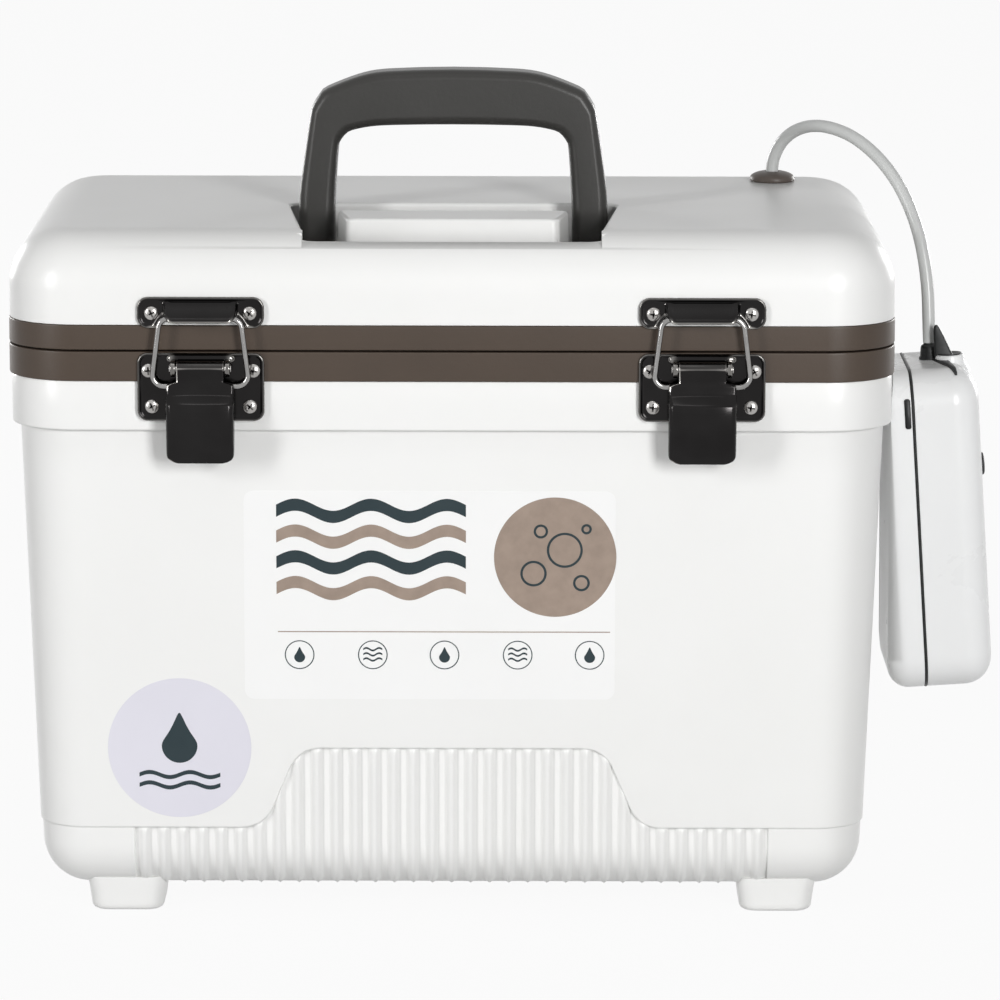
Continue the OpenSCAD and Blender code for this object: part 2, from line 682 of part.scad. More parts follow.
// Side view of the lever's sheet, y outwards and z down from its axis
function lever_face() = concat(
  [[-3.3, 0], [-3.5, -5], [-4.6, -8.6]],
  arc([-1.2, -22], 7.6, 140, 220, 8),
  [[-4.9, 3 - lever_len], [-4.1, -lever_len]]
);
module lever() color([0.12, 0.12, 0.12]) translate([0, lever_y, lever_z]) {
  face = lever_face();
  back = [for (i = [len(face) - 1:-1:0]) face[i] + [lever_t, 0]];
  sheet = concat(face, back);
  difference() {
    along_x(3.3, neck_w);
    along_x(lever_pin_r + 0.06, neck_w + 2);
  }
  difference() {
    union() {
      rotate([90, 0, 90]) linear_extrude(neck_w, center = true) polygon(sheet);
      intersection() {
        rotate([90, 0, 90]) linear_extrude(pad_w, center = true) polygon(sheet);
        rotate([90, 0, 0]) linear_extrude(40, center = true)
          polygon(concat(
            [[pad_w / 2, -10.5]], [[-pad_w / 2, -10.5]],
            arc([4 - pad_w / 2, 4 - lever_len], 4, 180, 270, 5),
            arc([pad_w / 2 - 4, 4 - lever_len], 4, 270, 360, 5)
          ));
      }
      // turned-in sides of the pad
      for (x = [-1, 1]) translate([x * (pad_w / 2 - lever_t / 2), 0, 0])
        rotate([90, 0, 90]) linear_extrude(lever_t, center = true)
          polygon(concat(
            [[2.2, -bail_crank], [-0.2, -5], [-3.2, -5.4]], [for (i = [2:len(face) - 2]) face[i] + [0.4, 0]],
            [[-3.6, 4 - lever_len], [1.4, 9 - lever_len]]
          ));
    }
    along_x(lever_pin_r + 0.06, neck_w + 2);
    translate([0, 0, -bail_crank]) along_x(wire_r + 0.05, pad_w + 4);
    // room for the ears and the pin's heads
    for (x = [-1, 1]) translate([x * (ear_in + 1.3), 0, 0]) along_x(ear_r + 0.5, 5.2);
  }
}

// A path with its corners rounded
function bend(a, b, c, r, n = 5) = let (
    u = unit(a - b), v = unit(c - b), half = acos(u * v) / 2, centre = b + unit(u + v) * r / sin(half),
    from = b + u * r / tan(half) - centre, to = b + v * r / tan(half) - centre
  )
  [for (i = [0:n]) let (t = i / n, k = 180 - 2 * half)
    centre + (sin((1 - t) * k) * from + sin(t * k) * to) / sin(k)];
function rounded(p, r) = concat(
  [p[0]], [for (i = [1:len(p) - 2]) each bend(p[i - 1], p[i], p[i + 1], r)], [p[len(p) - 1]]
);

// The wire bail, bar upwards, with its two ends as pins in the lever
module bail() color("silver") translate([0, lever_y, bail_z]) {
  foot_x = pad_w / 2 - lever_t - 0.4;
  pin_len = bail_low_x - foot_x - 4;
  path = rounded([
    [-foot_x - 1, 0, 0], [-bail_low_x, 0, 0], [-bail_top_x, 0, bail_len],
    [bail_top_x, 0, bail_len], [bail_low_x, 0, 0], [foot_x + 1, 0, 0]
  ], 3);
  tube(path, wire_r * 0.99, [0, 1, 0], 12);
  for (x = [-1, 1]) translate([x * (foot_x + pin_len / 2), 0, 0]) along_x(wire_r, pin_len);
}

module at_latch(s) {
  translate([s * latch_x, 0, 0]) children();
}
module latch_base_screws() color("silver") translate([0, face_y, 0]) at_base_screws() screw();
module keeper_screws() color("silver") translate([0, face_y, 0]) at_keeper_screws() screw();

// ---- hinges ----
module at_hinges() {
  for (s = [-1, 1]) translate([s * latch_x, 0, 0]) children();
}
module hinge_leaf(z0, z1, screw_z) {
  difference() {
    translate([0, -front_y + leaf_t / 2, (z0 + z1) / 2]) rotate([90, 0, 0])
      linear_extrude(leaf_t, center = true) plan(hinge_w, z1 - z0, 2.5);
    for (x = [-1, 1]) translate([x * hinge_screw_x, box_d / 2 + leaf_t + 1, screw_z])
      rotate([90, 0, 0]) cylinder(r = screw_r + 0.05, h = leaf_t + 2);
  }
}
module hinge_lower_leaves() color([0.12, 0.12, 0.12]) at_hinges() {
  hinge_leaf(seam_z - leaf_low_end, seam_z - leaf_in, leaf_low_z);
  for (x = [-1, 1]) translate([x * (knuckle_w / 4 + hinge_w / 4 + 0.1), 0, 0]) difference() {
    union() {
      translate([0, hinge_y, seam_z]) along_x(knuckle_r, knuckle_w / 2);
      translate([-knuckle_w / 4, box_d / 2, seam_z - 6]) cube([knuckle_w / 2, hinge_out, 3]);
      translate([-knuckle_w / 4, hinge_y - 1, seam_z - 5]) cube([knuckle_w / 2, 2, 5]);
    }
    translate([0, hinge_y, seam_z]) along_x(hinge_pin_r + 0.04, hinge_w);
  }
}
module hinge_upper_leaves() color([0.12, 0.12, 0.12]) at_hinges() {
  hinge_leaf(seam_z + leaf_in, seam_z + leaf_up_end, leaf_up_z);
  difference() {
    union() {
      translate([0, hinge_y, seam_z]) along_x(knuckle_r, knuckle_w - 0.4);
      translate([-knuckle_w / 2 + 0.2, box_d / 2, seam_z + 3.4]) cube([knuckle_w - 0.4, hinge_out, 2.6]);
      translate([-knuckle_w / 2 + 0.2, hinge_y - 1, seam_z]) cube([knuckle_w - 0.4, 2, 5]);
    }
    translate([0, hinge_y, seam_z]) along_x(hinge_pin_r + 0.04, hinge_w);
  }
}
module hinge_lower_screws() color("silver") translate([0, box_d / 2 + leaf_t, 0])
  at_hinge_screws(leaf_low_z) mirror([0, 1, 0]) screw();
module hinge_upper_screws() color("silver") translate([0, box_d / 2 + leaf_t, 0])
  at_hinge_screws(leaf_up_z) mirror([0, 1, 0]) screw();
module hinge_pins() color("silver") at_hinges() translate([0, hinge_y, seam_z]) {
  along_x(hinge_pin_r, hinge_w + 0.4);
  for (x = [-1, 1]) translate([x * (hinge_w / 2 + 0.7), 0, 0]) along_x(hinge_pin_r * 1.4, 1);
}

// ---- the pump, in its own frame: x outwards from the seam, z down from its top ----
module at_pump() {
  translate([box_w / 2 + pump_out, 0, seam_z - pump_drop]) rotate([0, -pump_lean, 0]) children();
}
corner_p = 15;
boss_r = 4.6;
case_seat = 6;
// Ribs inside the case that carry the cells, the motor, the chamber and the switch
rib_t = 2;
cup_x = 19;
cup_y = -4;
nozzle_x = 11.1;
nozzle_y = 3;
button_z = -47;
button_in = 5;
switch_w = 18;
switch_t = 8;
motor_x = 1.5;
motor_z = -48;
motor_r = 10.5;
chamber_w = 22;
chamber_x = 6;
chamber_y = 14;
chamber_z = -27;
cell_x = 7;
cell_y = cell_r + 0.6;
cell_z = -pump_h + case_t + 12.3;
cell_h = pump_h - works_h;
contact_w = 14;
contact_t = 0.6;
bridge_w = 18;
bridge_t = 0.7;
motor_len = 27;
// A block standing on the seam's plane and rounded away from it, towards x * side
module half_case(side, depth, inset, re) {
  translate([side * seal_t / 2, 0, -pump_h / 2]) rotate([0, side * 90, 0])
    loaf(pump_h - 2 * inset, pump_d - 2 * inset, depth - seal_t / 2 - inset, corner_p - inset, re - inset);
}
// The back slopes in towards the top
slope_h = 50;
slope_top_x = 7;
function back_x(z) = -slope_top_x + z * (slope_top_x - pump_back) / -slope_h;
module back_slope(inset) {
  rotate([90, 0, 0]) linear_extrude(pump_d * 2, center = true)
    polygon([[back_x(5) + inset, 5], [back_x(-slope_h - 10) + inset, -slope_h - 10],
      [-pump_back - 20, -slope_h - 10], [-pump_back - 20, 5]]);
}
module pump_back_shell() color("white") at_pump() difference() {
  half_case(-1, pump_back, 0, 9);
  back_slope(0);
  difference() {
    translate([0.5, 0, 0]) half_case(-1, pump_back + 0.5, case_t, 9);
    back_slope(case_t);
    at_case_screws() translate([-pump_back, 0, 0]) boss(boss_r, pump_back);
    // saddles under the motor and a shelf under the air chamber
    for (y = [-22, -8]) at_motor(y) translate([-pump_back - motor_x, 0, -motor_r])
      cube([pump_back - 2, rib_t, 2 * motor_r]);
    translate([-pump_back, chamber_y + 2, chamber_z - rib_t - gap])
      cube([pump_back - 1, 8, rib_t]);
  }
  at_case_screws() translate([-pump_back, 0, 0]) boss(screw_r + 0.05, 2 * pump_back);
  at_case_screws() translate([-pump_back - 1, 0, 0]) boss(head_r + 0.3, pump_back + 1 - case_seat);
  at_motor(-30) along_y(motor_r + gap, 40);
}
// A place on the motor's axis
module at_motor(y) {
  translate([motor_x, y, motor_z]) children();
}
module at_case_screws() {
  for (y = [-1, 1], z = [-9, 9 - pump_h]) translate([0, y * (pump_d / 2 - 9), z]) children();
}
module boss(r, len) {
  rotate([0, 90, 0]) cylinder(r = r, h = len);
}
module pump_front_shell() color("white") at_pump() difference() {
  union() {
    difference() {
      half_case(1, pump_front, 0, 12);
      difference() {
        translate([-0.5, 0, 0]) half_case(1, pump_front + 0.5, case_t, 12);
        at_case_screws() boss(boss_r, pump_front);
        // ribs beside the switch and under the cells
        for (y = [-1, 1]) {
          translate([pump_front - 15, y * (switch_w / 2 + gap + rib_t / 2) - rib_t / 2,
            button_z - switch_w / 2]) cube([20, rib_t, switch_w]);
          translate([0, y * cell_y - rib_t / 2, -pump_h]) cube([pump_front, rib_t, cell_z + pump_h - 1.2]);
        }
      }
    }
    translate([cup_x, cup_y, -7]) cylinder(r = 5.8, h = 9.5);
  }
  translate([cup_x, cup_y, -4]) cylinder(r = 4.6, h = 12);
  translate([nozzle_x, nozzle_y, -12]) cylinder(r = 3.05, h = 20);
  at_case_screws() boss(screw_r + 0.05, 14);
  translate([pump_front - button_in - 1, 0, button_z]) boss(button_r + 0.4, 12);
}
module pump_seal() color([0.1, 0.1, 0.1]) at_pump() difference() {
  translate([0, 0, -pump_h / 2]) rotate([0, 90, 0]) linear_extrude(seal_t, center = true)
    plan(pump_h, pump_d, corner_p);
  translate([0, 0, -pump_h / 2]) rotate([0, 90, 0]) linear_extrude(seal_t + 2, center = true)
    plan(pump_h - 2 * case_t, pump_d - 2 * case_t, corner_p - case_t);
}
module pump_case_screws() color("silver") at_pump() at_case_screws() {
  translate([-case_seat, 0, 0]) boss(screw_r, 19);
  translate([-case_seat - head_h, 0, 0]) boss(head_r, head_h);
}
// The tongue on the pump's back that slides into the bracket, with a release tab above
tongue_x = box_w / 2 - collar_in + 1.15;
module pump_clip() color("white") {
  translate([tongue_x, -11.8, step_z - 4]) cube([1.1, 23.6, collar_h - 1.5 + 4]);
  translate([tongue_x + 0.4, -9.5, seam_z - pump_drop + 0.8]) cube([3.8, 19, 8.2]);
  at_pump() translate([0, 9, 0]) rotate([90, 0, 0]) linear_extrude(18)
    polygon([[back_x(-2), -2], [back_x(-16), -16], [-10.9, -16], [-10.1, -2]]);
}
module pump_bracket() color("white") {
  x0 = box_w / 2 - collar_in;
  z0 = step_z + 1.5;
  h = collar_h - 2.7;
  difference() {
    union() {
      translate([x0, -21, z0]) cube([1, 42, h]);
      for (s = [0, 1]) mirror([0, s, 0]) {
        translate([x0, 12, z0]) cube([3, 2.5, h]);
        translate([x0 + 2.4, 9.8, z0]) cube([0.6, 2.5, h]);
      }
    }
    at_bracket_screws() translate([0, -6, 0]) along_y(screw_r + 0.05, 10);
  }
}
module pump_bracket_screws() color("silver") at_bracket_screws() translate([0, -1, 0]) screw(8);

module battery_cells() color("steelblue") at_pump()
  for (y = [-1, 1]) translate([cell_x, y * cell_y, cell_z]) {
    cylinder(r = cell_r, h = cell_h - 2);
    cylinder(r = 4.8, h = cell_h);
  }
module battery_contacts() color("silver") at_pump() {
  for (y = [-1, 1]) translate([cell_x - contact_w / 2, y * cell_y - contact_w / 2, cell_z + cell_h])
    cube([contact_w, contact_w, contact_t]);
  translate([cell_x - bridge_w / 2, -cell_y - bridge_w / 2 + 1, cell_z - bridge_t - 0.1])
    cube([bridge_w, 2 * cell_y + bridge_w - 2, bridge_t]);
}
module pump_motor() color("silver") at_pump() difference() {
  union() {
    at_motor(1 - motor_len) along_y(motor_r, motor_len);
    at_motor(1) along_y(3, 2);
  }
  at_motor(-2) along_y(1.05, 10);
}
// Shaft, disc and crank pin
module motor_crank() color("gold") at_pump() {
  at_motor(-1.8) along_y(1, 7);
  at_motor(3.4) along_y(5, 3);
  at_motor(6.4) translate([3, 0, 0]) along_y(1, 3);
}
// Diaphragm chamber, its rod down to the crank and its pipe up to the outlet
module air_chamber() color([0.2, 0.2, 0.2]) at_pump() {
  translate([chamber_x, chamber_y, chamber_z]) {
    translate([-chamber_w / 2, -chamber_w / 2, 0]) cube([chamber_w, chamber_w, 5]);
    translate([0, 0, 5]) cylinder(r = 9, h = 5);
  }
  translate([nozzle_x, nozzle_y, -22]) {
    cylinder(r = 2, h = 10);
    translate([-2, -2, -2]) cube([4, 11, 4]);
  }
  translate([motor_x - 1.5, 6.8, motor_z + 4.6]) cube([3, 3, chamber_z - motor_z - 4]);
}
// Barbed outlet under a rubber boot, that the hose is pushed on
module air_outlet() color([0.08, 0.08, 0.08]) at_pump() translate([nozzle_x, nozzle_y, 0]) {
  translate([0, 0, -12]) cylinder(r = 3, h = 12.5);
  cylinder(r1 = 4.2, r2 = 3.6, h = 5);
  translate([0, 0, 0.2]) cylinder(r = 2.4, h = 6.7);
}
module port_plug() color([0.08, 0.08, 0.08]) at_pump() translate([cup_x, cup_y, 0]) {
  translate([0, 0, -4]) cylinder(r = 4.5, h = 5.6);
  rotate([90, 0, 0]) linear_extrude(2, center = true) polygon([
    [-6.4, 2.8], [-4, 2.8], [-4, 1], [2, 1], [0.6, 4], [-3.2, 13], [-4.6, 15.6], [-6, 15.6], [-6.6, 13]
  ]);
}
module pump_button() color([0.12, 0.12, 0.12]) at_pump() translate([pump_front - button_in, 0, button_z]) {
  boss(button_r, 8);
  boss(button_r + 1.4, 2.2);
}
module pump_switch() color("darkgreen") at_pump()
  translate([pump_front - button_in - button_travel - 0.5 - switch_t, -switch_w / 2, button_z - switch_w / 2])
    cube([switch_t, switch_w, switch_w]);

// ---- the air line ----
module air_hose_outside() color("lightgray") tube(HOSE_OUT, hose_r, [1, 0, 0]);
module air_hose_inside() color("lightgray") tube(HOSE_IN, hose_r, [1, 0, 0]);
module air_stone() color("slategray") {
  end = HOSE_IN[len(HOSE_IN) - 1];
  translate(end) rotate([90, 0, 0]) {
    cylinder(r = 2, h = 5);
    translate([0, 0, 4]) cylinder(r = stone_r, h = stone_len);
  }
}

tub_shell();
tub_foam();
tub_liner();
tub_band();
at_latch(-1) latch_base();  // latch_base_left
at_latch(1) latch_base();  // latch_base_right
lever_pins();
latch_base_screws();
hinge_lower_leaves();
hinge_pins();
hinge_lower_screws();
pump_bracket();
pump_bracket_screws();
pump_clip();
pump_back_shell();
pump_seal();
pump_front_shell();
pump_case_screws();
battery_cells();
battery_contacts();
pump_motor();
motor_crank();
air_chamber();
air_outlet();
port_plug();
pump_button();
pump_switch();
air_hose_outside();
air_hose_inside();
air_stone();
lid_shell();
lid_foam();
lid_liner();
lid_band();
lid_gasket();
at_latch(-1) keeper();  // keeper_left
at_latch(1) keeper();  // keeper_right
keeper_screws();
hose_grommet();
hinge_upper_leaves();
hinge_upper_screws();
handle_pins();
handle();
at_latch(-1) lever();  // lever_left
at_latch(1) lever();  // lever_right
at_latch(-1) bail();  // bail_left
at_latch(1) bail();  // bail_right
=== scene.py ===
# Dresses the bait cooler box: finishes, rounded forms, latches, air pump, floor and light.
# Lengths are millimetres until a mesh is made. +X is the pump's end, -Y the front, +Z up.
from math import acos, cos, pi, radians, sin, sqrt, tan

import bmesh
import bpy
from mathutils import Matrix, Vector
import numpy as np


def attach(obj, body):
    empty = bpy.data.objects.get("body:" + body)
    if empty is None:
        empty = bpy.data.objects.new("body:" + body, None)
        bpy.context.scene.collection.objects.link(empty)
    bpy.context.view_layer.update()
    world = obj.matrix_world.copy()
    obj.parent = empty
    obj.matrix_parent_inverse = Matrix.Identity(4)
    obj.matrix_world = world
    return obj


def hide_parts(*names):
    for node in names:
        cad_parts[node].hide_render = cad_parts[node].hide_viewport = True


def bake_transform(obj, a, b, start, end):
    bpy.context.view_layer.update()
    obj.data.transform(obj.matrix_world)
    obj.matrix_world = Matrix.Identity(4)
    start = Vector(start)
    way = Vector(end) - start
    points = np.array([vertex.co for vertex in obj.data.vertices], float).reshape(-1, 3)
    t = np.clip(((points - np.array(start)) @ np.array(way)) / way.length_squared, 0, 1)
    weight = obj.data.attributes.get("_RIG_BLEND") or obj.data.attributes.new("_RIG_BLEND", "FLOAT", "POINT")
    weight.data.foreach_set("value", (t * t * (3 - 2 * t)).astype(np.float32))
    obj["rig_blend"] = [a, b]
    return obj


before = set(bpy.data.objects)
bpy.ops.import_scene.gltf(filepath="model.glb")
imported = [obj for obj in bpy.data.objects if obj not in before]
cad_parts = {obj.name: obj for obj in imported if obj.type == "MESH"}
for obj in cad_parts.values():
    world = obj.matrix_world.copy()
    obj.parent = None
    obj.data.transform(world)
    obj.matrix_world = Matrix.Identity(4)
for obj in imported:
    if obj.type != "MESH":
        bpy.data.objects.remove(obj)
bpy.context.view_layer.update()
scene = bpy.context.scene
mm = 0.001
print("frame loaded:", len(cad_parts), "nodes")

# the whole box, shared by the pieces below
box = dict(width=370, depth=225, corner=30, bodyIn=4.3, draft=2.1, bottomRound=21, foot=10.5, step=210,
           bandLow=230.7, seam=243.5, gap=0.3, bandUp=254.2, top=291.9, latchX=103.5)


# angles in degrees

def cosine(angle):
    return cos(radians(angle))


def sine(angle):
    return sin(radians(angle))


# node helpers

def addNode(tree, kind, inputs=None, **settings):
    node = tree.nodes.new(kind)
    for key, value in settings.items():
        setattr(node, key, value)
    for key, value in (inputs or {}).items():
        if isinstance(value, bpy.types.NodeSocket):
            tree.links.new(value, node.inputs[key])
        else:
            node.inputs[key].default_value = value
    return node


def newGroup(name, kind, inputs, outputs):
    # a float is an input's default; a word is the kind of socket
    tree = bpy.data.node_groups.new(name, kind)
    for side, sockets in (("INPUT", inputs), ("OUTPUT", outputs)):
        for label, value in sockets.items():
            word = "Float" if isinstance(value, float) else value
            socket = tree.interface.new_socket(label, in_out=side, socket_type="NodeSocket" + word)
            if isinstance(value, float):
                socket.default_value = value
    given, out = tree.nodes.new("NodeGroupInput"), tree.nodes.new("NodeGroupOutput")
    return tree, given.outputs, out.inputs


def maths(tree, operation, a, b=0.0, c=0.0):
    return addNode(tree, "ShaderNodeMath", {0: a, 1: b, 2: c}, operation=operation).outputs[0]


def addNoise(tree, place, scale, **settings):
    return addNode(tree, "ShaderNodeTexNoise", {"Vector": place, "Scale": scale, **settings}).outputs[0]


def mixColors(tree, share, first, second):
    return addNode(tree, "ShaderNodeMix", {0: share, 6: first, 7: second}, data_type="RGBA").outputs[2]


# shared effects

def buildTone():  # slow drift between two shades, as moulded and handled surfaces have
    tree, given, out = newGroup("toneDrift", "ShaderNodeTree",
                                {"Vector": "Vector", "Color": "Color", "Shade": "Color", "Scale": 20.0,
                                 "Amount": 0.5}, {"Color": "Color"})
    noise = addNoise(tree, given["Vector"], given["Scale"], Detail=4.0, Roughness=0.55)
    spread = addNode(tree, "ShaderNodeMapRange", {"Value": noise, "From Min": 0.35, "From Max": 0.68})
    mask = maths(tree, "MULTIPLY", spread.outputs[0], given["Amount"])
    tree.links.new(mixColors(tree, mask, given["Color"], given["Shade"]), out["Color"])
    return tree


def buildGrain():  # moulded texture: broad ripple and fine tooth
    tree, given, out = newGroup("fineGrain", "ShaderNodeTree",
                                {"Vector": "Vector", "Ripple Scale": 200.0, "Tooth Scale": 1500.0,
                                 "Tooth": 0.3}, {"Height": "Float"})
    ripple = addNoise(tree, given["Vector"], given["Ripple Scale"], Detail=1.0)
    tooth = addNoise(tree, given["Vector"], given["Tooth Scale"], Detail=2.0)
    tree.links.new(maths(tree, "MULTIPLY_ADD", tooth, given["Tooth"], ripple), out["Height"])
    return tree


def buildPatches():  # rubbed and smudged patches in the roughness
    tree, given, out = newGroup("rubbedPatches", "ShaderNodeTree",
                                {"Vector": "Vector", "Roughness": 0.3, "Spread": 0.06, "Scale": 18.0},
                                {"Roughness": "Float"})
    noise = addNoise(tree, given["Vector"], given["Scale"], Detail=5.0, Roughness=0.6, Distortion=0.4)
    centred = maths(tree, "SUBTRACT", noise, 0.5)
    rough = maths(tree, "MULTIPLY_ADD", centred, given["Spread"], given["Roughness"])
    tree.links.new(rough, out["Roughness"])
    return tree


# the crease side of this mask paints shade into hollows; the edge side carries edge wear and, on the
# latches, a painted highlight
def buildEdgeCreaseMask():  # raised edges (From below To) or creases (To below From), broken up
    tree, given, out = newGroup("edgeWearHighlightShadeMask", "ShaderNodeTree",
                                {"Vector": "Vector", "From": 0.52, "To": 0.6, "Amount": 1.0,
                                 "Break Up": 0.4}, {"Mask": "Float"})
    edge = addNode(tree, "ShaderNodeNewGeometry").outputs["Pointiness"]
    band = addNode(tree, "ShaderNodeMapRange", {"Value": edge, "From Min": given["From"],
                                                "From Max": given["To"]}, interpolation_type="SMOOTHSTEP")
    noise = addNoise(tree, given["Vector"], 260.0, Detail=3.0)
    keep = maths(tree, "SUBTRACT", 1.0, maths(tree, "MULTIPLY", noise, given["Break Up"]))
    mask = maths(tree, "MULTIPLY", maths(tree, "MULTIPLY", band.outputs[0], keep), given["Amount"])
    tree.links.new(mask, out["Mask"])
    return tree


toneDrift, fineGrain, rubbedPatches, edgeWearHighlightShadeMask = buildTone(), buildGrain(), buildPatches(), buildEdgeCreaseMask()


def useGroup(tree, group, inputs):
    return addNode(tree, "ShaderNodeGroup", inputs, node_tree=group).outputs[0]


def makeFinish(name, color, shade, roughness, metallic=0.0, tone=0.5, toneScale=14.0, spread=0.08,
               patchScale=20.0, grain=0.02, rippleScale=220.0, toothScale=1600.0, tooth=0.3,
               wear=0.0, wearAndHighlightColor=(0.6, 0.6, 0.6), wearAndHighlightFrom=0.53, wearAndHighlightTo=0.62,
               grime=0.0, paintedShadeColor=(0.3, 0.3, 0.29), paintedShadeFrom=0.485, paintedShadeTo=0.42, specular=0.5):
    material = bpy.data.materials.new(name)
    material.use_nodes = True
    tree = material.node_tree
    shader = tree.nodes["Principled BSDF"]
    place = addNode(tree, "ShaderNodeTexCoord").outputs["Object"]
    base = useGroup(tree, toneDrift, {"Vector": place, "Color": (*color, 1), "Shade": (*shade, 1),
                                      "Scale": toneScale, "Amount": tone})
    # creases and hollows get a painted shade; raised edges get edge wear, which on the latches is partly a
    # painted highlight
    for amount, first, last, layer in ((grime, paintedShadeFrom, paintedShadeTo, paintedShadeColor),
                                       (wear, wearAndHighlightFrom, wearAndHighlightTo, wearAndHighlightColor)):
        if amount:
            mask = useGroup(tree, edgeWearHighlightShadeMask, {"Vector": place, "From": first, "To": last, "Amount": amount})
            base = mixColors(tree, mask, base, (*layer, 1))
    patches = useGroup(tree, rubbedPatches, {"Vector": place, "Roughness": roughness, "Spread": spread,
                                             "Scale": patchScale})
    height = useGroup(tree, fineGrain, {"Vector": place, "Ripple Scale": rippleScale,
                                        "Tooth Scale": toothScale, "Tooth": tooth})
    bump = addNode(tree, "ShaderNodeBump", {"Height": height, "Strength": 1.0, "Distance": grain * mm})
    for output, socket in ((base, "Base Color"), (patches, "Roughness"), (bump.outputs["Normal"], "Normal")):
        tree.links.new(output, shader.inputs[socket])
    shader.inputs["Metallic"].default_value = metallic
    shader.inputs["Specular IOR Level"].default_value = specular
    return material


finishes = dict(
    # the shell's crease layer is painted shade that darkens the rib valleys and the crease line
    shell=makeFinish("whiteShell", (0.84, 0.84, 0.83), (0.80, 0.80, 0.785), 0.30, tone=0.6, toneScale=7,
                     spread=0.10, grain=0.02, rippleScale=60, specular=0.35, grime=0.5),
    # the case's crease layer is painted shade in its creases and hollows
    pumpCase=makeFinish("whiteCase", (0.90, 0.905, 0.905), (0.87, 0.875, 0.875), 0.28, tone=0.6,
                        toneScale=12, grain=0.01, rippleScale=60, specular=0.4, grime=0.3),
    liner=makeFinish("whiteLiner", (0.79, 0.79, 0.78), (0.74, 0.74, 0.72), 0.33, grain=0.05,
                     rippleScale=90),
    foam=makeFinish("foamFill", (0.78, 0.71, 0.48), (0.68, 0.60, 0.38), 0.85, tone=0.8, toneScale=60,
                    grain=0.5, rippleScale=420, toothScale=1400, tooth=0.7),
    band=makeFinish("taupeBand", (0.064, 0.046, 0.034), (0.053, 0.038, 0.028), 0.40, tone=0.7, toneScale=18,
                    grain=0.03, rippleScale=500, toothScale=2200, tooth=0.8, specular=0.3, wear=0.3,
                    wearAndHighlightColor=(0.11, 0.088, 0.07)),
    # the bright rims on the black nickel are edge wear and a painted highlight
    latch=makeFinish("blackNickel", (0.024, 0.023, 0.023), (0.015, 0.014, 0.014), 0.15, metallic=1.0,
                     tone=0.6, toneScale=40, spread=0.12, patchScale=45, grain=0.006, rippleScale=260,
                     wear=0.9, wearAndHighlightColor=(0.62, 0.60, 0.57), wearAndHighlightFrom=0.526, wearAndHighlightTo=0.585),
    # the near-black crease layer on the screws is painted shade in the cross slots
    screw=makeFinish("brightSteel", (0.42, 0.41, 0.40), (0.30, 0.285, 0.27), 0.24, metallic=1.0, tone=0.6,
                     toneScale=160, grain=0.02, rippleScale=900, grime=0.95,
                     paintedShadeColor=(0.03, 0.028, 0.026), paintedShadeFrom=0.49, paintedShadeTo=0.40),
    wire=makeFinish("polishedWire", (0.33, 0.325, 0.32), (0.24, 0.235, 0.23), 0.12, metallic=1.0, tone=0.6,
                    toneScale=120, grain=0.006, rippleScale=700),
    seal=makeFinish("blackRubber", (0.010, 0.011, 0.011), (0.018, 0.018, 0.018), 0.42, tone=0.6,
                    toneScale=60, grain=0.03, rippleScale=600, specular=0.3),
    gasket=makeFinish("greyGasket", (0.30, 0.30, 0.30), (0.24, 0.24, 0.24), 0.6, grain=0.06,
                      rippleScale=500),
    grommet=makeFinish("taupeRubber", (0.082, 0.066, 0.056), (0.060, 0.047, 0.040), 0.42, tone=0.6,
                       toneScale=60, grain=0.04, rippleScale=600, specular=0.35),
    button=makeFinish("darkButton", (0.020, 0.020, 0.022), (0.032, 0.032, 0.033), 0.45, toneScale=90,
                      grain=0.05, rippleScale=800, specular=0.3),
    battery=makeFinish("cellWrap", (0.06, 0.13, 0.30), (0.03, 0.07, 0.18), 0.35, toneScale=30),
    motor=makeFinish("platedCan", (0.50, 0.50, 0.49), (0.40, 0.39, 0.37), 0.3, metallic=1.0, toneScale=60),
    crank=makeFinish("turnedBrass", (0.62, 0.46, 0.20), (0.50, 0.36, 0.15), 0.3, metallic=1.0,
                     toneScale=80),
    chamber=makeFinish("chamberBlack", (0.030, 0.030, 0.031), (0.045, 0.045, 0.045), 0.5, grain=0.05),
    switch=makeFinish("switchBody", (0.02, 0.05, 0.025), (0.03, 0.07, 0.035), 0.4, toneScale=90),
    hose=makeFinish("greyHose", (0.58, 0.59, 0.58), (0.51, 0.52, 0.515), 0.26, tone=0.5, toneScale=30,
                    grain=0.005, rippleScale=200, specular=0.45),
    stone=makeFinish("airStone", (0.26, 0.31, 0.36), (0.14, 0.17, 0.21), 0.95, tone=0.9, toneScale=700,
                     grain=0.6, rippleScale=1500, toothScale=3500, tooth=0.8),
    handle=makeFinish("darkHandle", (0.033, 0.032, 0.030), (0.026, 0.025, 0.023), 0.36, tone=0.7,
                      toneScale=25, grain=0.03, rippleScale=700, toothScale=2400, tooth=0.6, specular=0.32,
                      wear=0.3, wearAndHighlightColor=(0.07, 0.07, 0.066)),
    film=makeFinish("labelFilm", (0.87, 0.87, 0.865), (0.84, 0.84, 0.835), 0.3, toneScale=12, grain=0.004),
    inkDark=makeFinish("inkDark", (0.016, 0.030, 0.036), (0.026, 0.042, 0.048), 0.4, toneScale=60,
                       grain=0.004, specular=0.3),
    inkTaupe=makeFinish("inkTaupe", (0.335, 0.262, 0.213), (0.275, 0.215, 0.175), 0.45, tone=0.9,
                        toneScale=140, grain=0.004, specular=0.3),
    inkPale=makeFinish("inkPale", (0.72, 0.71, 0.78), (0.67, 0.66, 0.73), 0.35, toneScale=16, grain=0.004),
)
print("finishes made:", len(finishes))


# mesh helpers

def linkPiece(name, data):
    piece = bpy.data.objects.new(name, data)
    scene.collection.objects.link(piece)
    return piece


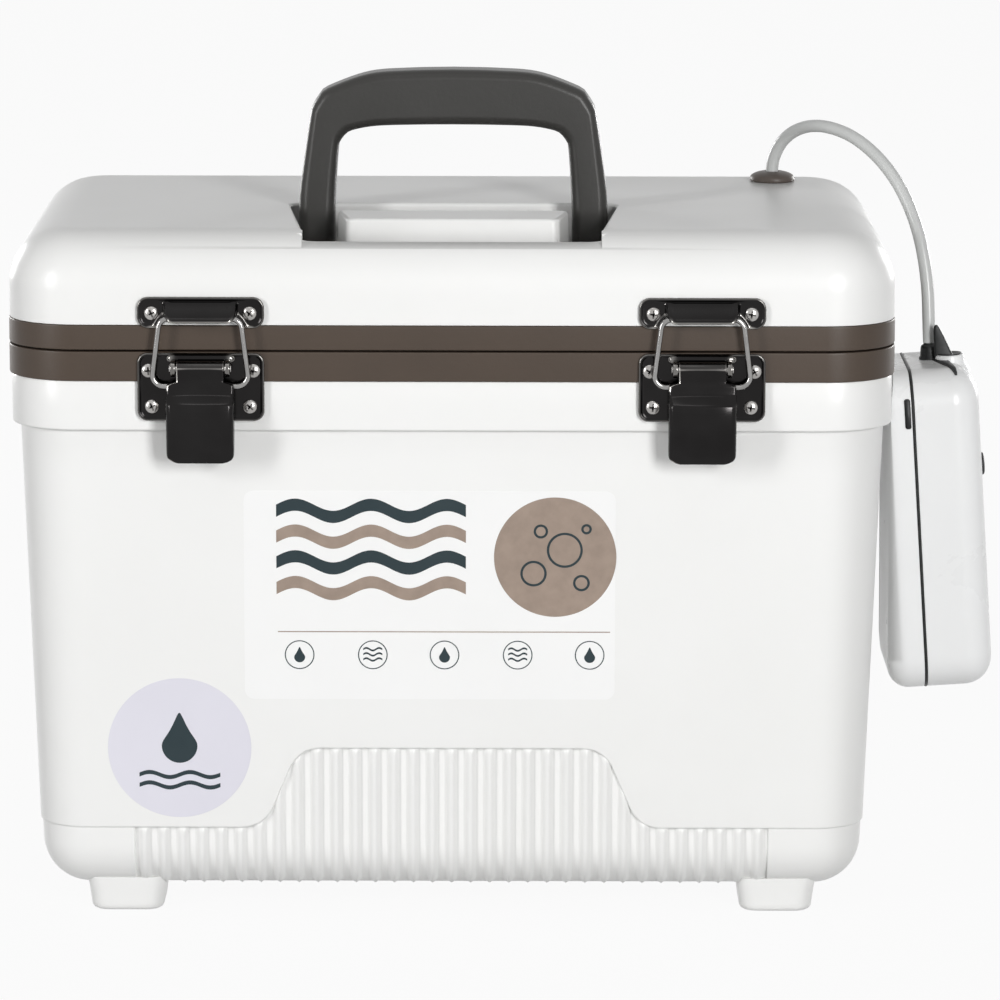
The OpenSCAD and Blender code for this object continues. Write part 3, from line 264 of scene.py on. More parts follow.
def newPiece(name, verts, faces=(), unit=mm):
    mesh = bpy.data.meshes.new(name)
    mesh.from_pydata([Vector(v) * unit for v in verts], [], faces)
    return linkPiece(name, mesh)


def smoothMesh(mesh, sharp=40):
    mesh.polygons.foreach_set("use_smooth", [True] * len(mesh.polygons))
    mesh.set_sharp_from_angle(angle=radians(sharp))


def tidyPiece(piece, sharp=40, distance=2e-6):
    shape = bmesh.new()
    shape.from_mesh(piece.data)
    bmesh.ops.remove_doubles(shape, verts=shape.verts, dist=distance)
    bmesh.ops.dissolve_degenerate(shape, edges=shape.edges, dist=1e-7)
    bmesh.ops.recalc_face_normals(shape, faces=shape.faces)
    shape.to_mesh(piece.data)
    shape.free()
    smoothMesh(piece.data, sharp)
    return piece


def makePiece(name, form, key=None, sharp=40):
    piece = newPiece(name, *form)
    if key:
        piece.data.materials.append(finishes[key])
    return tidyPiece(piece, sharp)


def settle(piece, body, slotName, *nodes):
    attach(piece, body)
    if nodes:
        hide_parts(*nodes)
    return piece


def addPiece(name, form, key, body, *nodes, slotName=None, sharp=40, even=False):
    piece = makePiece(name, form, key, sharp)
    return settle(evenNormals(piece) if even else piece, body, slotName or key, *nodes)


def loft(rings, loop=False):
    count = len(rings[0])
    verts = [p for ring in rings for p in ring]
    faces = []
    for i in range(len(rings) - (0 if loop else 1)):
        a, b = i * count, (i + 1) % len(rings) * count
        faces += [(a + k, a + (k + 1) % count, b + (k + 1) % count, b + k) for k in range(count)]
    if not loop:
        faces += [tuple(reversed(range(count))), tuple(range((len(rings) - 1) * count, len(rings) * count))]
    return verts, faces


def joinForms(*forms):
    verts, faces = [], []
    for points, corners in forms:
        faces += [tuple(i + len(verts) for i in face) for face in corners]
        verts += list(points)
    return verts, faces


def movedForm(form, change):
    return [tuple(change(Vector(v))) for v in form[0]], form[1]


def arcPoints(centre, radius, start, end, steps=8):
    angles = [start + (end - start) * i / steps for i in range(steps + 1)]
    return [(centre[0] + radius * cosine(a), centre[1] + radius * sine(a)) for a in angles]


def roundRect(width, height, radius, steps=8):
    radius = max(radius, 0.02)
    points = []
    for sx, sy, start in ((1, 1, 0), (-1, 1, 90), (-1, -1, 180), (1, -1, 270)):
        centre = (sx * (width / 2 - radius), sy * (height / 2 - radius))
        points += arcPoints(centre, radius, start, start + 90, steps)
    return points


def circle(radius, sides, across=0, up=0):
    return [(across + radius * cos(2 * pi * k / sides), up + radius * sin(2 * pi * k / sides))
            for k in range(sides)]


def quarterRound(radius, angles):  # (rise, inset) round a quarter circle
    return [(radius * sine(a), radius * (1 - cosine(a))) for a in angles]


def smoothPath(points, steps=6):  # Catmull-Rom through the points
    points = [Vector(p) for p in points]
    line = [2 * points[0] - points[1]] + points + [2 * points[-1] - points[-2]]
    path = []
    for a, b, c, d in zip(line, line[1:], line[2:], line[3:]):
        for i in range(steps):
            t = i / steps
            path.append(0.5 * (2 * b + (c - a) * t + (2 * a - 5 * b + 4 * c - d) * t * t
                               + (3 * b - a - 3 * c + d) * t ** 3))
    return path + [points[-1]]


def tubeForm(path, radius, side=(1, 0, 0), sides=16, ends=0.0):
    # round bar along a path; ends is the rounding of its two tips
    path, side = [Vector(p) for p in path], Vector(side)
    rings = []
    for i, point in enumerate(path):
        along = (path[min(i + 1, len(path) - 1)] - path[max(i - 1, 0)]).normalized()
        u = (side - along * along.dot(side)).normalized()
        v = along.cross(u)
        wide = radius if 0 < i < len(path) - 1 else radius - ends
        rings.append([tuple(point + wide * (a * u + b * v)) for a, b in circle(1, sides)])
    return loft(rings)


def revolve(profile, centre, sides=40, closed=True):  # about an upright axis
    rings = [[(x, y, centre[2] + z) for x, y in circle(r, sides, centre[0], centre[1])] for r, z in profile]
    return loft(rings, loop=closed)


def freezePiece(piece):  # modifiers become the mesh
    graph = bpy.context.evaluated_depsgraph_get()
    mesh = bpy.data.meshes.new_from_object(piece.evaluated_get(graph), preserve_all_data_layers=True,
                                           depsgraph=graph)
    piece.modifiers.clear()
    piece.data = mesh
    return piece


def cutWith(piece, cutter, operation="DIFFERENCE"):
    modifier = piece.modifiers.new("carve", "BOOLEAN")
    modifier.operation, modifier.solver, modifier.object = operation, "EXACT", cutter
    freezePiece(piece)
    bpy.data.objects.remove(cutter)


def carve(piece, form, operation="DIFFERENCE"):
    cutWith(piece, makePiece("cutter", form), operation)


def joinPieces(piece, other):
    shape = bmesh.new()
    shape.from_mesh(piece.data)
    shape.from_mesh(other.data)
    shape.to_mesh(piece.data)
    shape.free()
    bpy.data.objects.remove(other)


def evenNormals(piece):
    modifier = piece.modifiers.new("evenNormals", "WEIGHTED_NORMAL")
    modifier.mode, modifier.keep_sharp, modifier.weight = "FACE_AREA", True, 60
    return freezePiece(piece)


def roundEdges(piece, width, segments=2):
    modifier = piece.modifiers.new("roundEdges", "BEVEL")
    modifier.width, modifier.segments = width * mm, segments
    modifier.limit_method, modifier.angle_limit = "ANGLE", radians(32)
    freezePiece(piece)
    smoothMesh(piece.data)
    return evenNormals(piece)


def camelName(node):
    first, *others = node.split("_")
    return first + "".join(word.capitalize() for word in others)


def refineNode(node, key, body, width, segments=2, slotName=None):
    # a copy of a CAD solid with its edges rounded
    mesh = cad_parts[node].data.copy()
    mesh.name = camelName(node)
    piece = linkPiece(mesh.name, mesh)
    shape = bmesh.new()
    shape.from_mesh(mesh)
    bmesh.ops.remove_doubles(shape, verts=shape.verts, dist=2e-6)
    bmesh.ops.dissolve_limit(shape, angle_limit=radians(1.5), verts=shape.verts, edges=shape.edges)
    shape.to_mesh(mesh)
    shape.free()
    mesh.materials.clear()
    mesh.materials.append(finishes[key])
    return settle(roundEdges(piece, width, segments), body, slotName or key, node)


# camera

camera = dict(place=(20.16, -2376.5, 591.0), pitch=10.257, roll=0.13, lens=199.7, sensor=36,
              near=0.05, far=50)
cameraData = bpy.data.cameras.new("camera")
cameraData.lens, cameraData.sensor_width = camera["lens"], camera["sensor"]
cameraData.clip_start, cameraData.clip_end = camera["near"], camera["far"]
scene.camera = linkPiece("camera", cameraData)
scene.camera.matrix_world = (Matrix.Translation(Vector(camera["place"]) * mm)
                             @ Matrix.Rotation(radians(90 - camera["pitch"]), 4, "X")
                             @ Matrix.Rotation(radians(camera["roll"]), 4, "Z"))

# air line

airLine = dict(radius=2.75, sides=20, stoneRadius=7, stoneLength=36, stoneRound=1.5, stoneNeck=4,
               outside=[(140.7, 74, 294), (140.7, 74, 298), (141.6, 73.2, 303), (144.3, 71, 309),
                        (148.6, 67, 314), (154.2, 61.5, 317.3), (160.5, 55, 318.6), (167.5, 48, 317.8),
                        (174.5, 41, 315.2), (181.3, 34, 310.6), (187.6, 27, 304.4), (193.2, 20.8, 296.6),
                        (197.8, 15.4, 287.2), (201.4, 10.8, 276.6), (203.8, 7.4, 265), (205.2, 4.8, 253),
                        (205.7, 3.4, 241.5), (205.9, 3, 235.3), (206.2, 3, 230.4)],
               inside=[(140.7, 74, z) for z in (294, 270, 240, 210, 180, 150, 120, 95, 75)]
               + [(140.7, 73.2, 62), (140.7, 70.5, 52), (140.7, 65, 43), (140.7, 57.5, 36.8),
                  (140.7, 49, 33.4), (140.7, 40, 32.3), (140.7, 32, 32.3)],
               outsideBlend=((0.1407, 0.074, 0.294), (0.2062, 0.003, 0.2304)),
               insideBlend=((0.1407, 0.074, 0.290), (0.1407, 0.070, 0.050)))


def pathLength(path):
    return sum((b - a).length for a, b in zip(path, path[1:]))


def buildAirLine():
    radius, wide, long, tip, neck = (airLine[key] for key in ("radius", "stoneRadius", "stoneLength",
                                                              "stoneRound", "stoneNeck"))
    profile = [(0.02, 0), (radius - 0.1, 0), (radius - 0.1, neck)]  # neck, then a body with rounded ends
    profile += [(wide - tip + r, neck + tip + z) for r, z in arcPoints((0, 0), tip, -90, 0, 4)]
    profile += [(wide - tip + r, neck + long - tip + z) for r, z in arcPoints((0, 0), tip, 0, 90, 4)]
    stone = revolve(profile + [(0.02, neck + long)], (0, 0, 0), 32, closed=False)
    start = Vector(airLine["inside"][-1])
    stone = movedForm(stone, lambda v: Vector((start.x + v.x, start.y - v.z, start.z + v.y)))
    stonePiece = addPiece("airStone", stone, "stone", "tub", "air_stone")
    for key, extra in (("outside", []), ("inside", [stonePiece])):
        path = smoothPath(airLine[key], 5)
        first, last = airLine[key + "Blend"]
        node = "air_hose_" + key
        piece = makePiece(camelName(node), tubeForm(path, radius, sides=airLine["sides"]), "hose")
        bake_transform(piece, "lid", "tub", start=first, end=last)
        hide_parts(node)
        print(node, "length", round(pathLength(path), 1), "mm")


buildAirLine()

# tub

tub = dict(ribCount=33, ribWidth=8.08, ribDepth=2.2, beadShare=0.64, crestRound=0.5, columnsPerRib=12,
           ribEase=0.35, plainStops=(136, 142, 149), crease=39.0, creaseIn=0.8, blockHeight=34.5,
           blockWidth=110, blockRadius=14, blockSlope=67, collarIn=1.0, collarCorner=27, shellWall=2.5,
           footX=137.5, footY=74.5, footWidth=31, footDepth=34, footCorner=7, cornerSteps=14)


def bodyHalf(half, z):  # half width or depth of the tapered body at a height
    return half - box["bodyIn"] - (box["step"] - z) * tan(radians(box["draft"]))


ballZ = box["foot"] + box["bottomRound"]


def ballHalf(half):  # from the middle to the centre of the bottom's rounding
    return bodyHalf(half, ballZ) - box["bottomRound"] / cosine(box["draft"])


def creaseHeight(x):  # the panel's lower edge: low at the sides, raised over the middle block
    slope, radius = radians(tub["blockSlope"]), tub["blockRadius"]
    rise = tub["blockHeight"] - 2 * radius * (1 - cos(slope))
    run = rise / tan(slope)
    x = abs(x) - tub["blockWidth"] / 2
    bend = radius * sin(slope)
    if x <= 0:
        return tub["crease"] + tub["blockHeight"]
    if x <= bend:
        return tub["crease"] + tub["blockHeight"] - radius + sqrt(radius ** 2 - x ** 2)
    if x <= bend + run:
        return tub["crease"] + tub["blockHeight"] - radius * (1 - cos(slope)) - (x - bend) * tan(slope)
    if x < 2 * bend + run:
        x = 2 * bend + run - x
        return tub["crease"] + radius - sqrt(radius ** 2 - x ** 2)
    return tub["crease"]


def ribStops():  # places across the front: through the ribs, then out over the plain ends
    half = tub["ribCount"] * tub["ribWidth"] / 2
    count = tub["ribCount"] * tub["columnsPerRib"]
    ribs = [-half + 2 * half * i / count for i in range(count + 1)]
    ends = [half + tub["ribEase"], *tub["plainStops"]]
    return [-x for x in reversed(ends)] + ribs + ends


def tubColumns(stops):
    # places round the tub, anticlockwise from above: (kind, x sign, y sign, value)
    ends = [-60, -30, 0, 30, 60]
    turn = [90 * i / tub["cornerSteps"] for i in range(tub["cornerSteps"] + 1)]
    columns = [("front", 0, -1, x) for x in stops] + [("corner", 1, -1, a - 90) for a in turn]
    columns += [("end", 1, 0, y) for y in ends] + [("corner", 1, 1, a) for a in turn]
    columns += [("front", 0, 1, -x) for x in stops] + [("corner", -1, 1, a + 90) for a in turn]
    columns += [("end", -1, 0, -y) for y in ends] + [("corner", -1, -1, a + 180) for a in turn]
    return columns


def columnPlace(column, halfX, halfY, radius):
    kind, sx, sy, value = column
    if kind == "front":
        return value, sy * halfY, 0, sy
    if kind == "end":
        return sx * halfX, value, sx, 0
    a = radians(value)
    return (sx * (halfX - radius) + radius * cos(a), sy * (halfY - radius) + radius * sin(a),
            cos(a), sin(a))


def bodyLine(columns, heights, inset=0.0):  # a ring on the tapered wall, at its own height in each column
    out = inset / cosine(box["draft"])
    points = []
    for column, z in zip(columns, heights):
        share = (z - ballZ) / (box["step"] - ballZ)
        radius = box["bottomRound"] + 6 * share - inset * (1 - 0.5 * share)
        x, y, nx, ny = columnPlace(column, bodyHalf(box["width"] / 2, z) - out,
                                   bodyHalf(box["depth"] / 2, z) - out, radius)
        points.append((x, y, z))
    return points


def levelRow(columns, halfX, halfY, radius, z):
    return [(x, y, z) for x, y, nx, ny in (columnPlace(c, halfX, halfY, radius) for c in columns)]


def bottomRow(columns, angle, inset=0.0):  # a level ring on the rounding under the tub
    radius = box["bottomRound"] - inset
    out = radius * cosine(angle)
    return levelRow(columns, ballHalf(box["width"] / 2) + out, ballHalf(box["depth"] / 2) + out, out,
                    ballZ - radius * sine(angle))


def endTree(tree, geometry, given, out):  # real geometry with its finish
    real = addNode(tree, "GeometryNodeRealizeInstances", {"Geometry": geometry})
    last = addNode(tree, "GeometryNodeSetMaterial", {"Geometry": real.outputs[0],
                                                     "Material": given["Finish"]})
    tree.links.new(last.outputs[0], out["Geometry"])
    return tree


def buildRibTree():  # presses the grooves between the ribs into the tub's wall
    tree, given, out = newGroup("ribPress", "GeometryNodeTree",
                                {"Geometry": "Geometry", "Rib Width": 0.008, "Rib Depth": 0.0016,
                                 "Crest Roundness": 0.75, "Finish": "Material"}, {"Geometry": "Geometry"})

    def attribute(name, kind="FLOAT"):
        return addNode(tree, "GeometryNodeInputNamedAttribute", {"Name": name}, data_type=kind).outputs[0]

    across = maths(tree, "DIVIDE", attribute("ribX"), given["Rib Width"])
    offset = maths(tree, "ABSOLUTE", maths(tree, "SUBTRACT", across, maths(tree, "ROUND", across)))
    narrow = maths(tree, "MAXIMUM", attribute("beadWidth"), 0.001)
    share = maths(tree, "MINIMUM", maths(tree, "DIVIDE", maths(tree, "MULTIPLY", offset, 2.0), narrow), 1.0)
    wave = maths(tree, "COSINE", maths(tree, "MULTIPLY", share, pi))
    bead = maths(tree, "POWER", maths(tree, "MULTIPLY_ADD", wave, 0.5, 0.5), given["Crest Roundness"])
    groove = maths(tree, "MULTIPLY", attribute("grooveShare"), given["Rib Depth"])
    rise = maths(tree, "SUBTRACT", attribute("crestInset"), groove)
    depth = maths(tree, "MULTIPLY_ADD", bead, rise, groove)
    shift = addNode(tree, "ShaderNodeVectorMath", {0: attribute("inward", "FLOAT_VECTOR"), "Scale": depth},
                    operation="SCALE").outputs[0]
    pressed = addNode(tree, "GeometryNodeSetPosition", {"Geometry": given["Geometry"], "Offset": shift})
    return endTree(tree, pressed.outputs[0], given, out)


def runTree(piece, tree, values):
    modifier = piece.modifiers.new("build", "NODES")
    modifier.node_group = tree
    for item in tree.interface.items_tree:
        if item.item_type == "SOCKET" and item.in_out == "INPUT" and item.name in values:
            modifier[item.identifier] = values[item.name]
    return freezePiece(piece)


def buildTubShell():
    columns = tubColumns(ribStops())
    ribHalf = tub["ribCount"] * tub["ribWidth"] / 2 + 0.01
    ribbed = [c[0] == "front" and abs(c[3]) <= ribHalf for c in columns]
    crease = [creaseHeight(c[3]) if c[0] == "front" else tub["crease"] for c in columns]
    plain, depth, wall = tub["creaseIn"], tub["ribDepth"], tub["shellWall"]
    draft, step = box["draft"], box["step"]
    # rows of (points, normal tilt below the horizontal, groove share, crest inset, plain inset, bead width)
    rows = []
    for angle in (88, 84, 80, 76, 73, 70, 67, 64, 61, 57, 53, 48, 43, 37, 30, 22, 14, 7, 2.1):
        t = min(max((angle - 42) / 34, 0), 1)
        groove = 1 - (1 - plain / depth) * t * t * (3 - 2 * t)
        tip = min(max((angle - 46) / 27, 0), 1)
        rows.append((bottomRow(columns, angle), angle, groove, 0.08, plain, sqrt(max(1 - tip ** 2, 0))))
    for share in (0.12, 0.3, 0.5, 0.7, 0.9):
        line = bodyLine(columns, [ballZ + share * (c - 3.0 - ballZ) for c in crease])
        rows.append((line, draft, 1, 0.08, plain, 1))
    for lift, groove, crest, side in (
            (-3.0, 1, 0.08, plain), (-1.9, 0.97, 0.14, plain), (-1.2, 0.90, 0.34, plain),
            (-0.7, 0.80, 0.60, plain), (-0.35, 0.60, 0.66, 0.76), (-0.1, 0.34, 0.44, 0.5),
            (0.15, 0.10, 0.16, 0.16), (0.45, 0.02, 0.03, 0.03), (0.9, 0, 0, 0)):
        rows.append((bodyLine(columns, [c + lift for c in crease]), draft, groove, crest, side, 1))
    topFlat = step - 1.2
    for share in (0.1, 0.3, 0.5, 0.7, 0.9, 1.0):
        line = bodyLine(columns, [c + 0.9 + share * (topFlat - c - 0.9) for c in crease])
        rows.append((line, draft, 0, 0, 0, 1))
    flat = (0, 0, 0, 0, 1)
    halfX, halfY = bodyHalf(box["width"] / 2, step), bodyHalf(box["depth"] / 2, step)
    reach, top = box["bodyIn"] - tub["collarIn"], box["bandLow"] - step
    for lift, out in ((-0.55, 0.2), (-0.12, 0.7), (0, 1.4), (0, reach - 0.9), (0.14, reach - 0.35),
                      (0.5, reach - 0.05), (1.0, reach), (10, reach), (top - 0.7, reach),
                      (top - 0.15, reach - 0.2), (top, reach - 0.7)):
        corner = tub["collarCorner"] + 2 * out / reach
        rows.append((levelRow(columns, halfX + out, halfY + out, corner, step + lift), *flat))
    for z in (box["bandLow"], 150, 80, ballZ):
        rows.append((bodyLine(columns, [z] * len(columns), wall), *flat))
    for angle in (25, 50, 75, 88):
        rows.append((bottomRow(columns, angle, wall), *flat))
    piece = newPiece("tubShell", *loft([row[0] for row in rows]))
    data = {"ribX": [], "grooveShare": [], "crestInset": [], "beadWidth": []}
    inward = []
    for points, tilt, groove, crest, side, bead in rows:
        for column, hasRib in zip(columns, ribbed):
            x, y, nx, ny = columnPlace(column, 0, 0, 0)
            inward += [-nx * cosine(tilt), -ny * cosine(tilt), sine(tilt)]
            data["ribX"].append((column[3] if hasRib else 0) * mm)
            data["grooveShare"].append(groove if hasRib else side / depth)
            data["crestInset"].append((crest if hasRib else side) * mm)
            data["beadWidth"].append(bead * tub["beadShare"])
    attributes = piece.data.attributes
    for key, values in data.items():
        attributes.new(key, "FLOAT", "POINT").data.foreach_set("value", values)
    attributes.new("inward", "FLOAT_VECTOR", "POINT").data.foreach_set("vector", inward)
    runTree(piece, buildRibTree(), {"Rib Width": tub["ribWidth"] * mm, "Rib Depth": depth * mm,
                                    "Crest Roundness": tub["crestRound"], "Finish": finishes["shell"]})
    for key in [*data, "inward"]:
        piece.data.attributes.remove(piece.data.attributes[key])
    feet = [footForm(x * tub["footX"], y * tub["footY"]) for x in (-1, 1) for y in (-1, 1)]
    joinPieces(piece, makePiece("feet", joinForms(*feet), "shell"))
    tidyPiece(piece, 50)
    return settle(piece, "tub", "shell", "tub_shell")


def footForm(x, y):
    rings = []
    for z, grow in ((0, -3.0), (0.25, -1.8), (0.9, -0.8), (2.0, -0.2), (3.4, 0), (7, 0.4), (10.5, 0.9),
                    (15, 1.6)):
        outline = roundRect(tub["footWidth"] + 2 * grow, tub["footDepth"] + 2 * grow,
                            tub["footCorner"] + min(grow, 0) * 0.6, 6)
        rings.append([(x + u, y + v, z) for u, v in outline])
    return loft(rings)

buildTubShell()

band = dict(round=0.7, liner=12, ledge=16, flange=3, inner=15.2, lidStep=6, steps=16)


def bandForm(section):  # (inset, height) points run round the box
    rings = [[(x, y, z) for x, y in roundRect(box["width"] - 2 * i, box["depth"] - 2 * i, box["corner"] - i,
                                              band["steps"])] for i, z in section]
    return loft(rings, loop=True)


def buildBands():
    low, up, bottom, top = box["seam"] - box["gap"], box["seam"] + box["gap"], box["bandLow"], box["bandUp"]
    r, liner, ledge, inner = band["round"], band["liner"], band["ledge"], band["inner"]
    shelf, step = low - band["flange"], box["seam"] + band["lidStep"]
    section = [(r, bottom), (r * 0.3, bottom + r * 0.3), (0, bottom + r), (0, low - r),
               (r * 0.3, low - r * 0.3), (r, low), (liner - 0.4, low), (liner, low - 0.4), (liner, shelf),
               (inner, shelf), (inner, bottom)]
    addPiece("tubBand", bandForm(section), "band", "tub", "tub_band", even=True)
    section = [(r, up), (r * 0.3, up + r * 0.3), (0, up + r), (0, top - r), (r * 0.3, top - r * 0.3),
               (r, top), (ledge, top), (ledge, step), (liner, step), (liner, up)]
    addPiece("lidBand", bandForm(section), "band", "lid", "lid_band", even=True)


liner = dict(outside=12.3, inside=14.5)


def buildLiner():
    # inner tub: outside of the wall up to the flange, over the rim, and down the inside
    columns = tubColumns([-140, -70, 0, 70, 140])
    outer, inner, low = liner["outside"], liner["inside"], box["seam"] - box["gap"]
    shelf = low - band["flange"]
    rows = [bottomRow(columns, a, outer) for a in (88, 60, 30, 2.1)]
    rows += [bodyLine(columns, [z] * len(columns), outer) for z in (80, 150, shelf)]
    for out, z in ((outer, shelf), (outer, low - 0.5), (outer + 0.5, low - 0.05)):
        halfX, halfY = box["width"] / 2 - out, box["depth"] / 2 - out
        rows.append(levelRow(columns, halfX, halfY, box["corner"] - out, z))
    for drop, out in ((0, 2.4), (0.12, 1.3), (0.6, 0.55), (1.5, 0.12), (3, 0)):
        rows.append(bodyLine(columns, [low - drop] * len(columns), inner - out))
    rows += [bodyLine(columns, [z] * len(columns), inner) for z in (200, 140, 90, 50)]
    rows += [bottomRow(columns, a, inner) for a in (2.1, 18, 36, 54, 72, 88)]
    addPiece("tubLiner", loft(rows), "liner", "tub", "tub_liner", sharp=50, even=True)
buildBands()
buildLiner()
print("tub made")

# lid

lid = dict(wall=2.5, inset=0.3, rounding=23.8, recessBackX=70, recessFrontX=62.6, recessBackY=-7,
           recessFrontY=-97, recessZ=268.5, recessCorners=(7, 7), recessEdge=1.3, islandBackX=48.7,
           islandFrontX=45, islandBackY=-31, islandFrontY=-60, islandCorners=(3.6, 2.2), islandEdge=1.5,
           edgeAngles=(0, 20, 40, 60, 78), grommetX=140.7, grommetY=74, holeRadius=6.5)


def outlineRing(name, z, grow, steps):  # an outline that is wider at its back
    front, back = lid[name + "FrontY"] - grow, lid[name + "BackY"] + grow
    frontX, backX = lid[name + "FrontX"] + grow, lid[name + "BackX"] + grow
    rf, rb = lid[name + "Corners"]
    points = arcPoints((frontX - rf, front + rf), rf, 270, 360, steps)
    points += arcPoints((backX - rb, back - rb), rb, 0, 90, steps)
    points += arcPoints((rb - backX, back - rb), rb, 90, 180, steps)
    points += arcPoints((rf - frontX, front + rf), rf, 180, 270, steps)
    return [(x, y, z) for x, y in points]


def recessRing(z, grow):
    return outlineRing("recess", z, grow, 8)


def islandRing(z, grow):
    return outlineRing("island", z, grow, 4)


def sideForm(outline, x):  # a (y, z) outline run across the middle of the lid
    return loft([[(s * x, y, z) for y, z in outline] for s in (-1, 1)])


def buildLidShell():
    r, wall, top, up, low = lid["rounding"], lid["wall"], box["top"], box["bandUp"], lid["recessZ"]
    halfX, halfY = box["width"] / 2 - lid["inset"], box["depth"] / 2 - lid["inset"]
    centreZ, skin = top - r, r - 0.5

    def ring(out, z):  # out is measured in from the lid's side
        outline = roundRect(2 * (halfX - out), 2 * (halfY - out), box["corner"] - out, 12)
        return [(x, y, z) for x, y in outline]

    rows = [ring(wall + inset, centreZ + rise)
            for rise, inset in quarterRound(r - wall, [90 - 11.25 * i for i in range(9)])]
    rows += [ring(wall, up), ring(0.5, up), ring(0.12, up + 0.15), ring(0, up + 0.6), ring(0, up + 7)]
    rows += [ring(inset, centreZ + rise) for rise, inset in quarterRound(r, [4.5 * i for i in range(21)])]
    piece = makePiece("lidShell", loft(rows + [ring(r + 1.2, top)]), "shell")
    carve(piece, loft([recessRing(low - wall, wall), recessRing(top - 1.2, wall)]), "UNION")
    slope = [(-(halfY - r + skin * cosine(a)), centreZ + skin * sine(a)) for a in (30, 40, 50, 60, 70)]
    carve(piece, sideForm([(-92, 280)] + slope + [(-92, top - 1.1)], 64), "UNION")

    def topEdge(ringAt, e, sign):
        return [ringAt(top - e + rise, sign * inset) for rise, inset in quarterRound(e, lid["edgeAngles"])]

    e = lid["recessEdge"]
    rows = [recessRing(low + dz, grow) for dz, grow in ((0, -2.2), (0.25, -1.2), (0.8, -0.45), (1.7, 0))]
    cutter = makePiece("recess", loft(rows + topEdge(recessRing, e, 1) + [recessRing(top + 1, e + 0.6)]))
    e = lid["islandEdge"]
    rows = [islandRing(low + dz, grow) for dz, grow in ((-1, 2.6), (0, 2.2), (0.5, 1.4), (1.6, 0.9))]
    carve(cutter, loft(rows + topEdge(islandRing, e, -1) + [islandRing(top + 1.5, -e - 0.8)]))
    cutWith(piece, cutter)
    carve(piece, loft([islandRing(low - wall - 1, -wall), islandRing(top - wall, -wall)]))
    # a shallow dip runs from the recess over the front edge
    dip = ((6, -4.7), (0, -4.75), (-1.5, -5.0), (-12, -7.6), (-14, -8.4), (-14, 5), (6, 5))
    carve(piece, sideForm([(lid["recessFrontY"] + y, top + z) for y, z in dip], lid["recessFrontX"] - 0.5))
    carve(piece, revolve([(lid["holeRadius"], -10), (lid["holeRadius"], 10)],
                         (lid["grommetX"], lid["grommetY"], top), 32, closed=False))
    tidyPiece(piece, 32, 4e-6)
    return settle(evenNormals(piece), "lid", "shell", "lid_shell")


def buildGrommet():
    profile = [(2.8, -4.5), (8.5, -4.5), (8.5, -2.5), (6.45, -2.5), (6.45, 0.02), (9.3, 0.02), (9.85, 0.35),
               (10, 1.2), (9.8, 2.1), (9.1, 2.9), (7.9, 3.6), (6.4, 4.15), (4.8, 4.5), (3.7, 4.55),
               (3.05, 4.2), (2.8, 3.6)]
    centre = (lid["grommetX"], lid["grommetY"], box["top"])
    addPiece("hoseGrommet", revolve(profile, centre), "grommet", "lid", "hose_grommet")


buildLidShell()
buildGrommet()
refineNode("lid_liner", "liner", "lid", 0.7, 3)
refineNode("lid_gasket", "gasket", "lid", 0.4)
print("lid made")

# handle

handle = dict(axisY=-18, axisZ=280.5, halfWidth=65.8, leg=15.2, height=70.8, grip=23.6, thick=20, edge=4.2,
              leanIn=4.6, outerRound=17, innerRound=9, crown=0.35, stations=44, pinHole=3.05,
              pinReach=(54.8, 72))


def evenSteps(points, count):  # evenly spaced places along a smooth curve through the points
    path = smoothPath([(*p, 0) for p in points], 8)
    total = [0]
    for a, b in zip(path, path[1:]):
        total.append(total[-1] + (b - a).length)
    places = []
    for i in range(count):
        d = total[-1] * i / count
        k = max(j for j in range(len(path) - 1) if total[j] <= d + 1e-9)
        places.append(path[k].lerp(path[k + 1], (d - total[k]) / (total[k + 1] - total[k])).to_2d())
    return places


def handleStations():  # pairs of outer and inner places up one leg and in to the middle of the grip
    xo, xi = handle["halfWidth"], handle["halfWidth"] - handle["leg"]
    h, low = handle["height"], handle["height"] - handle["grip"]
    ro, ri = handle["outerRound"], handle["innerRound"]
    outer = [(xo, 0), (xo, h * 0.12), (xo - 0.3, h * 0.26), (xo - 1.9, h * 0.44)]
    outer += arcPoints((xo - handle["leanIn"] - ro, h - 5.4 - ro), ro, 12, 58, 3)
    outer += [(xo * 0.55, h - 1.9), (xo * 0.28, h - 0.4), (0, h)]
    inner = [(xi, 0), (xi, h * 0.12), (xi - 0.5, h * 0.3)]
    inner += arcPoints((xi - 1.6 - ri, low - 2 - ri), ri, 8, 72, 3)
    inner += [(xo * 0.5, low - 0.7), (xo * 0.25, low - 0.15), (0, low)]
    return list(zip(evenSteps(outer, handle["stations"]), evenSteps(inner, handle["stations"])))


def handleSection(outer, inner, halfThick):
    # a rounded section between the outer and the inner edge, slightly crowned
    o, i = Vector((*outer, 0)), Vector((*inner, 0))
    middle, reach, crown = (o + i) / 2, (o - i), handle["crown"]
    direction = reach.normalized()
    ring = []
    for u, v in roundRect(reach.length, 2 * halfThick, min(handle["edge"], halfThick * 0.96), 6):
        bulge = crown * (1 - (2 * u / reach.length) ** 2) * (v / max(halfThick, 0.01))
        at = middle + direction * u
        out = v + bulge - (crown if v > 0 else -crown)
        ring.append((at.x, handle["axisY"] + out, handle["axisZ"] + at.y))
    return ring


